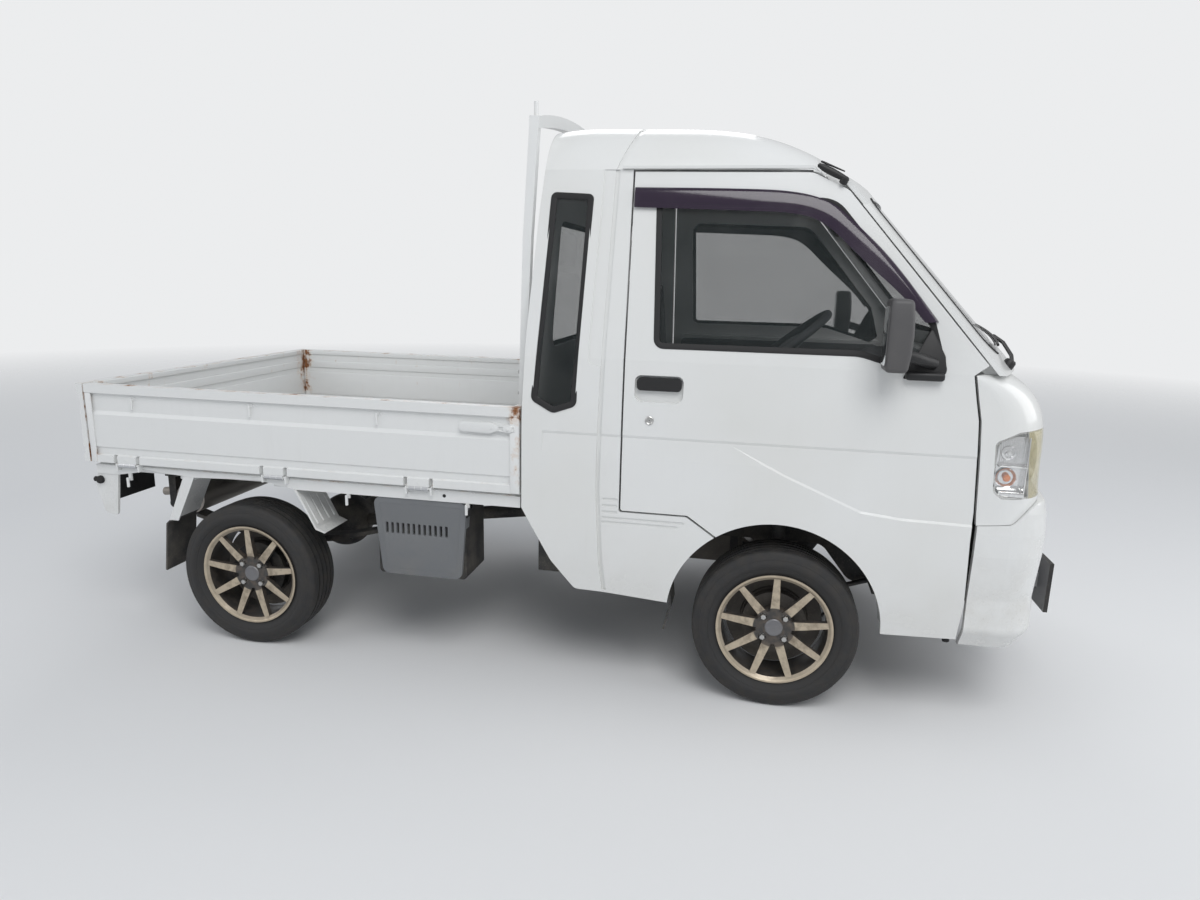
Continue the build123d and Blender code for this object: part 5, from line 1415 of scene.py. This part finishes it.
class Mirrors(bpy.types.Operator):
    """Door mirrors in place of their CAD blocks: rounded head, glass, arm and black sail."""

    bl_idname = "kei_truck.mirrors"
    bl_label = "Door mirrors"

    def execute(self, context):
        head = block("mirror_head", (1193, -858, 1130), (1262, -742, 1334))
        with editing("FACE"):
            bpy.ops.mesh.subdivide(number_cuts=3)
        middle = at(1228, -800, 1232)
        for vertex in head.data.vertices:
            off = vertex.co - middle
            rise = off.z * 1000 / MIRROR_HALF_HEIGHT
            vertex.co.y = middle.y + off.y * (0.97 - 0.10 * rise * rise)
            if off.x > 0:
                vertex.co.x = middle.x + off.x * (1 - 0.22 * rise * rise)
        soften(head, 20, 6, 50, 50)
        rim = [facing_ahead(MIRROR_GLASS, 1192.5, inset) for inset in (-5, 2)]
        shell = joined("mirror_shell", [head, band("mirror_rim", *rim, 3, 1)])
        glass = plate("mirror_glass", facing_ahead(MIRROR_GLASS, 1191.5), 1.5, 0.5)
        sail = [on_side(x, z, -4) for x, z in outline(MIRROR_SAIL)]
        arm = path((1345, -728, 1150), (1312, -752, 1160), (1284, -778, 1170), (1240, -794, 1180))
        base = joined("mirror_base", [
            plate("mirror_sail", sail, 8, 2.5),
            bar("mirror_foot", (1268, -752, 1101), (1376, -718, 1126), 9),
            pipe("mirror_arm", arm, 17, smooth=5),
        ])
        for piece, finish in ((shell, "mirror_shell"), (base, "black"), (glass, "mirror")):
            right, left = finish_both(piece, "door_{}", finish)
            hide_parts("mirror_right")
            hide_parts("mirror_left")
        return {"FINISHED"}


class BatteryCover(bpy.types.Operator):
    """Grey battery cover with its row of slots, tapering a little downwards."""

    bl_idname = "kei_truck.battery_cover"
    bl_label = "Battery cover"

    def execute(self, context):
        cover = plate("battery_cover", facing_side(BATTERY_COVER, -691, steps=8), 44, 0.1)
        slots = []
        for i in range(BATTERY_SLOTS):
            x = -395 + i * 20
            corners = box_outline((x - 4.5, 480), (x + 4.5, 519), 3)
            slots.append(plate("slot", facing_side(corners, -709), 42, 0.1))
        cutter = joined("slots", slots)
        apply_modifier(cover, "BOOLEAN", operation="DIFFERENCE", object=cutter, solver="EXACT")
        take(cutter)
        bpy.ops.object.delete()
        soften(cover, 6, 4, 50)
        seam = pipe("cover_seam", facing_side(BATTERY_COVER, -712.4, 20, 8), 1.4, True)
        finish_piece(done(joined("battery_cover", [cover, seam])), "truck", "box_grey")
        return {"FINISHED"}


class GateInside(bpy.types.Operator):
    """Inner pressings of the gates, plated hinge barrels and the beads of the rear mudguards."""

    bl_idname = "kei_truck.gate_inside"
    bl_label = "Gate inside"

    def execute(self, context):
        side = []
        tail = []
        for low, high, raised, round_off in GATE_PRESSINGS:
            side.append(bar("gate_rib", (-1530, -707, low), (56, -707 + raised, high), round_off))
            tail.append(bar("tail_rib", (-1565, -684, low), (-1565 + raised, 684, high), round_off))
        finish_both(joined("gate_ribs", side), "side_gate_{}", "bed_paint")
        finish_piece(joined("tailgate_ribs", tail), "tailgate", "bed_paint")
        barrels = []
        for x in GATE_HINGES:
            foot = (x - BARREL_HALF, -730, BARREL_Z)
            barrels.append(turned("hinge_barrel", BARREL, foot, FORWARD, 24))
        finish_both(joined("hinge_barrels", barrels), "side_gate_{}", "zinc")
        barrels = []
        for y in TAILGATE_HINGES:
            foot = (TAILGATE_X, y - BARREL_HALF, BARREL_Z)
            barrels.append(turned("tail_barrel", BARREL, foot, LEFTWARD, 24))
        finish_piece(joined("tail_barrels", barrels), "tailgate", "zinc")
        beads = []
        for i in range(GUARD_BEADS):
            y = -694 + i * 38
            bent = path((-739, y, 601), (-705, y, 540), (-672, y, 484))
            beads.append(pipe("guard_bead", bent, 5.5, smooth=3))
        finish_both(joined("guard_beads", beads), "truck", "low_paint")
        return {"FINISHED"}


class BrakeShields(bpy.types.Operator):
    """Pressed shields behind the brake drums, dark behind the spokes."""

    bl_idname = "kei_truck.brake_shields"
    bl_label = "Brake shields"

    def execute(self, context):
        for end, body, depth in (("front", "knuckle_{}", 612), ("rear", "truck", 608)):
            middle = (AXLES[end], -depth, TYRE_RADIUS)
            shield = turned(f"brake_shield_{end}", BRAKE_SHIELD, middle, RIGHTWARD, 64)
            finish_both(shield, body, "cast")
        return {"FINISHED"}


def blow_up(piece, cap):
    """Lets cloth under pressure fill a pad, and holds every point within the cap of its start."""
    start = [vertex.co.copy() for vertex in piece.data.vertices]
    modifier = piece.modifiers.new("Cloth", "CLOTH")
    modifier.settings.use_pressure = True
    modifier.settings.uniform_pressure_force = PAD_PRESSURE
    modifier.settings.effector_weights.gravity = 0
    modifier.settings.quality = 5
    modifier.point_cache.frame_end = PAD_FRAMES
    for number in range(1, PAD_FRAMES + 1):
        bpy.context.scene.frame_set(number)
    take(piece)
    bpy.ops.object.modifier_apply(modifier=modifier.name)
    bpy.context.scene.frame_set(1)
    for vertex, place in zip(piece.data.vertices, start):
        move = vertex.co - place
        if move.length > cap:
            vertex.co = place + move.normalized() * cap


def padded_copy(node, name, low, high, cap):
    """One seat pad from the CAD solid between two corners: remeshed, blown up within a cap, smoothed."""
    take(node)
    bpy.ops.object.duplicate()
    piece = bpy.context.object
    piece.name = name
    bpy.ops.object.mode_set(mode="EDIT")
    bpy.ops.mesh.select_all(action="DESELECT")
    bpy.ops.object.mode_set(mode="OBJECT")
    for face in piece.data.polygons:
        middle = face.center
        face.select = not all(low[k] - 1e-4 <= middle[k] <= high[k] + 1e-4 for k in range(3))
    bpy.ops.object.mode_set(mode="EDIT")
    bpy.ops.mesh.select_mode(type="FACE")
    bpy.ops.mesh.delete(type="FACE")
    bpy.ops.mesh.select_all(action="SELECT")
    bpy.ops.mesh.remove_doubles(threshold=0.00001)
    bpy.ops.mesh.normals_make_consistent(inside=False)
    bpy.ops.transform.shrink_fatten(value=-PAD_SHRINK)
    bpy.ops.object.mode_set(mode="OBJECT")
    apply_modifier(piece, "REMESH", mode="VOXEL", voxel_size=PAD_GRID)
    blow_up(piece, cap)
    apply_modifier(piece, "SMOOTH", factor=0.6, iterations=6)
    apply_modifier(piece, "SUBSURF", levels=1, render_levels=1)
    bpy.ops.object.shade_smooth()
    return piece


class Seats(bpy.types.Operator):
    """Seat cushions, backs and head restraints as padded cloth with welts."""

    bl_idname = "kei_truck.seats"
    bl_label = "Seats"

    def execute(self, context):
        parts = []
        for name, low, high, cap in SEAT_PADS:
            piece = padded_copy(NODES["seats"], name, at(*low), at(*high), cap)
            parts += finish_both(piece, "truck", "cloth")
        welts = [
            pipe("cushion_welt", path(*CUSHION_WELT), 3.5, True),
            pipe("back_welt", path(*BACK_WELT), 3.5, True),
        ]
        parts += finish_both(joined("seat_welts", welts), "truck", "cabin")
        posts = [pipe("rest_post", path((318, y, 1362), (318, y, 1400)), 6) for y in (-380, -280)]
        parts += finish_both(joined("rest_posts", posts), "truck", "steel")
        for piece in parts:
            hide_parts("seats")
        return {"FINISHED"}


def build_floor(size, color):
    """Pale floor that fades out far from the truck."""
    clear()
    bpy.ops.mesh.primitive_plane_add(size=size, location=(0, 0, 0))
    floor = bpy.context.object
    floor.name = "studio_floor"
    material, s, shader = new_material("Studio floor")
    x, y, _ = s.split(s.place())
    away = s.math("SQRT", s.plus(s.times(x, x), s.times(y, y)))
    grain = s.ramp(s.noise(s.place(), 900.0, 2.0), 0.3, 0.7)
    s.set(shader, "Base Color", s.mix(grain, coloured(color), coloured([part * 0.98 for part in color])))
    s.set(shader, "Roughness", 0.85)
    s.set(shader, "Alpha", s.ramp(away, FLOOR_END, FLOOR_FADE))
    shader.inputs["Specular IOR Level"].default_value = 0.2
    floor.data.materials.append(material)


def build_lights():
    """Soft lights round the truck, all aimed at its middle."""
    for name, place, size, power in LIGHTS:
        bpy.ops.object.light_add(type="AREA", location=place)
        light = bpy.context.object
        light.name = name
        light.data.size = size
        light.data.energy = power
        light.rotation_euler = (Vector(LIGHT_TARGET) - Vector(place)).to_track_quat("-Z", "Y").to_euler()


def build_sky():
    """Overcast sky: pale where it is seen or mirrored, bluer and weaker where it only lights."""
    world = bpy.data.worlds.new("Studio")
    world.use_nodes = True
    s = Shader(world.node_tree)
    sky = world.node_tree.nodes["Background"]
    ray = s.add("ShaderNodeLightPath").outputs
    mirrored = s.math("MAXIMUM", ray["Is Glossy Ray"], ray["Is Transmission Ray"])
    seen = s.math("MAXIMUM", ray["Is Camera Ray"], mirrored)
    s.set(sky, "Color", s.mix(seen, SKY_LIGHT, SKY_SEEN))
    shine = s.times(ray["Is Glossy Ray"], -0.35)
    s.set(sky, "Strength", s.plus(s.blend(seen, 0.40, 0.90), shine))
    bpy.context.scene.world = world


def build_camera():
    """The photograph's camera."""
    bpy.ops.object.camera_add(location=at(*CAMERA_AT))
    camera = bpy.context.object
    ahead = Vector((-math.sin(CAMERA_YAW), math.cos(CAMERA_YAW), 0))
    level = Vector((math.cos(CAMERA_YAW), math.sin(CAMERA_YAW), 0))
    up = Vector((0, 0, 1))
    look = ahead * math.cos(CAMERA_PITCH) + up * math.sin(CAMERA_PITCH)
    over = up * math.cos(CAMERA_PITCH) - ahead * math.sin(CAMERA_PITCH)
    right = level * math.cos(CAMERA_ROLL) + over * math.sin(CAMERA_ROLL)
    over = over * math.cos(CAMERA_ROLL) - level * math.sin(CAMERA_ROLL)
    turn = Matrix((right, over, -look)).transposed().to_4x4()
    camera.matrix_world = Matrix.Translation(at(*CAMERA_AT)) @ turn
    camera.data.lens = CAMERA_LENS
    camera.data.sensor_width = CAMERA_SENSOR
    bpy.context.scene.camera = camera


class Stage(bpy.types.Operator):
    """Pale floor, soft lights and the camera at the photograph's place."""

    bl_idname = "kei_truck.stage"
    bl_label = "Stage"

    def execute(self, context):
        scene = context.scene
        build_floor(scene.kei_truck_sizes.floor_size, scene.kei_truck_colours.floor)
        build_lights()
        build_sky()
        build_camera()
        scene.view_settings.view_transform = "Standard"
        return {"FINISHED"}


STEPS = (
    PaintNodes, WindowRubbers, WheelTrim, HeadlampInsides, DoorTrim, Visors, Mirrors, Wipers, RoofTrim,
    GateFittings, BedInside, GateInside, BatteryCover, BrakeShields, FrontTrim, RearLamps, CabInside, Seats,
    Stage,
)


class TruckPanel(bpy.types.Panel):
    """Sidebar panel that lists the steps."""

    bl_idname = "VIEW3D_PT_kei_truck"
    bl_label = "Kei Truck"
    bl_space_type = "VIEW_3D"
    bl_region_type = "UI"
    bl_category = "Kei Truck"

    def draw(self, context):
        for group in (context.scene.kei_truck_colours, context.scene.kei_truck_sizes):
            for name in group.__annotations__:
                self.layout.prop(group, name)
        for step in STEPS:
            self.layout.operator(step.bl_idname)


CLASSES = (TruckColours, TruckSizes, *STEPS, TruckPanel)


def register():
    for item in CLASSES:
        bpy.utils.register_class(item)
    bpy.types.Scene.kei_truck_colours = bpy.props.PointerProperty(type=TruckColours)
    bpy.types.Scene.kei_truck_sizes = bpy.props.PointerProperty(type=TruckSizes)


def unregister():
    del bpy.types.Scene.kei_truck_sizes
    del bpy.types.Scene.kei_truck_colours
    for item in reversed(CLASSES):
        bpy.utils.unregister_class(item)


def main():
    """Dresses the truck step by step."""
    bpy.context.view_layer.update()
    register()
    for step in STEPS:
        group, name = step.bl_idname.split(".")
        getattr(getattr(bpy.ops, group), name)()


if __name__ == "__main__":
    main()
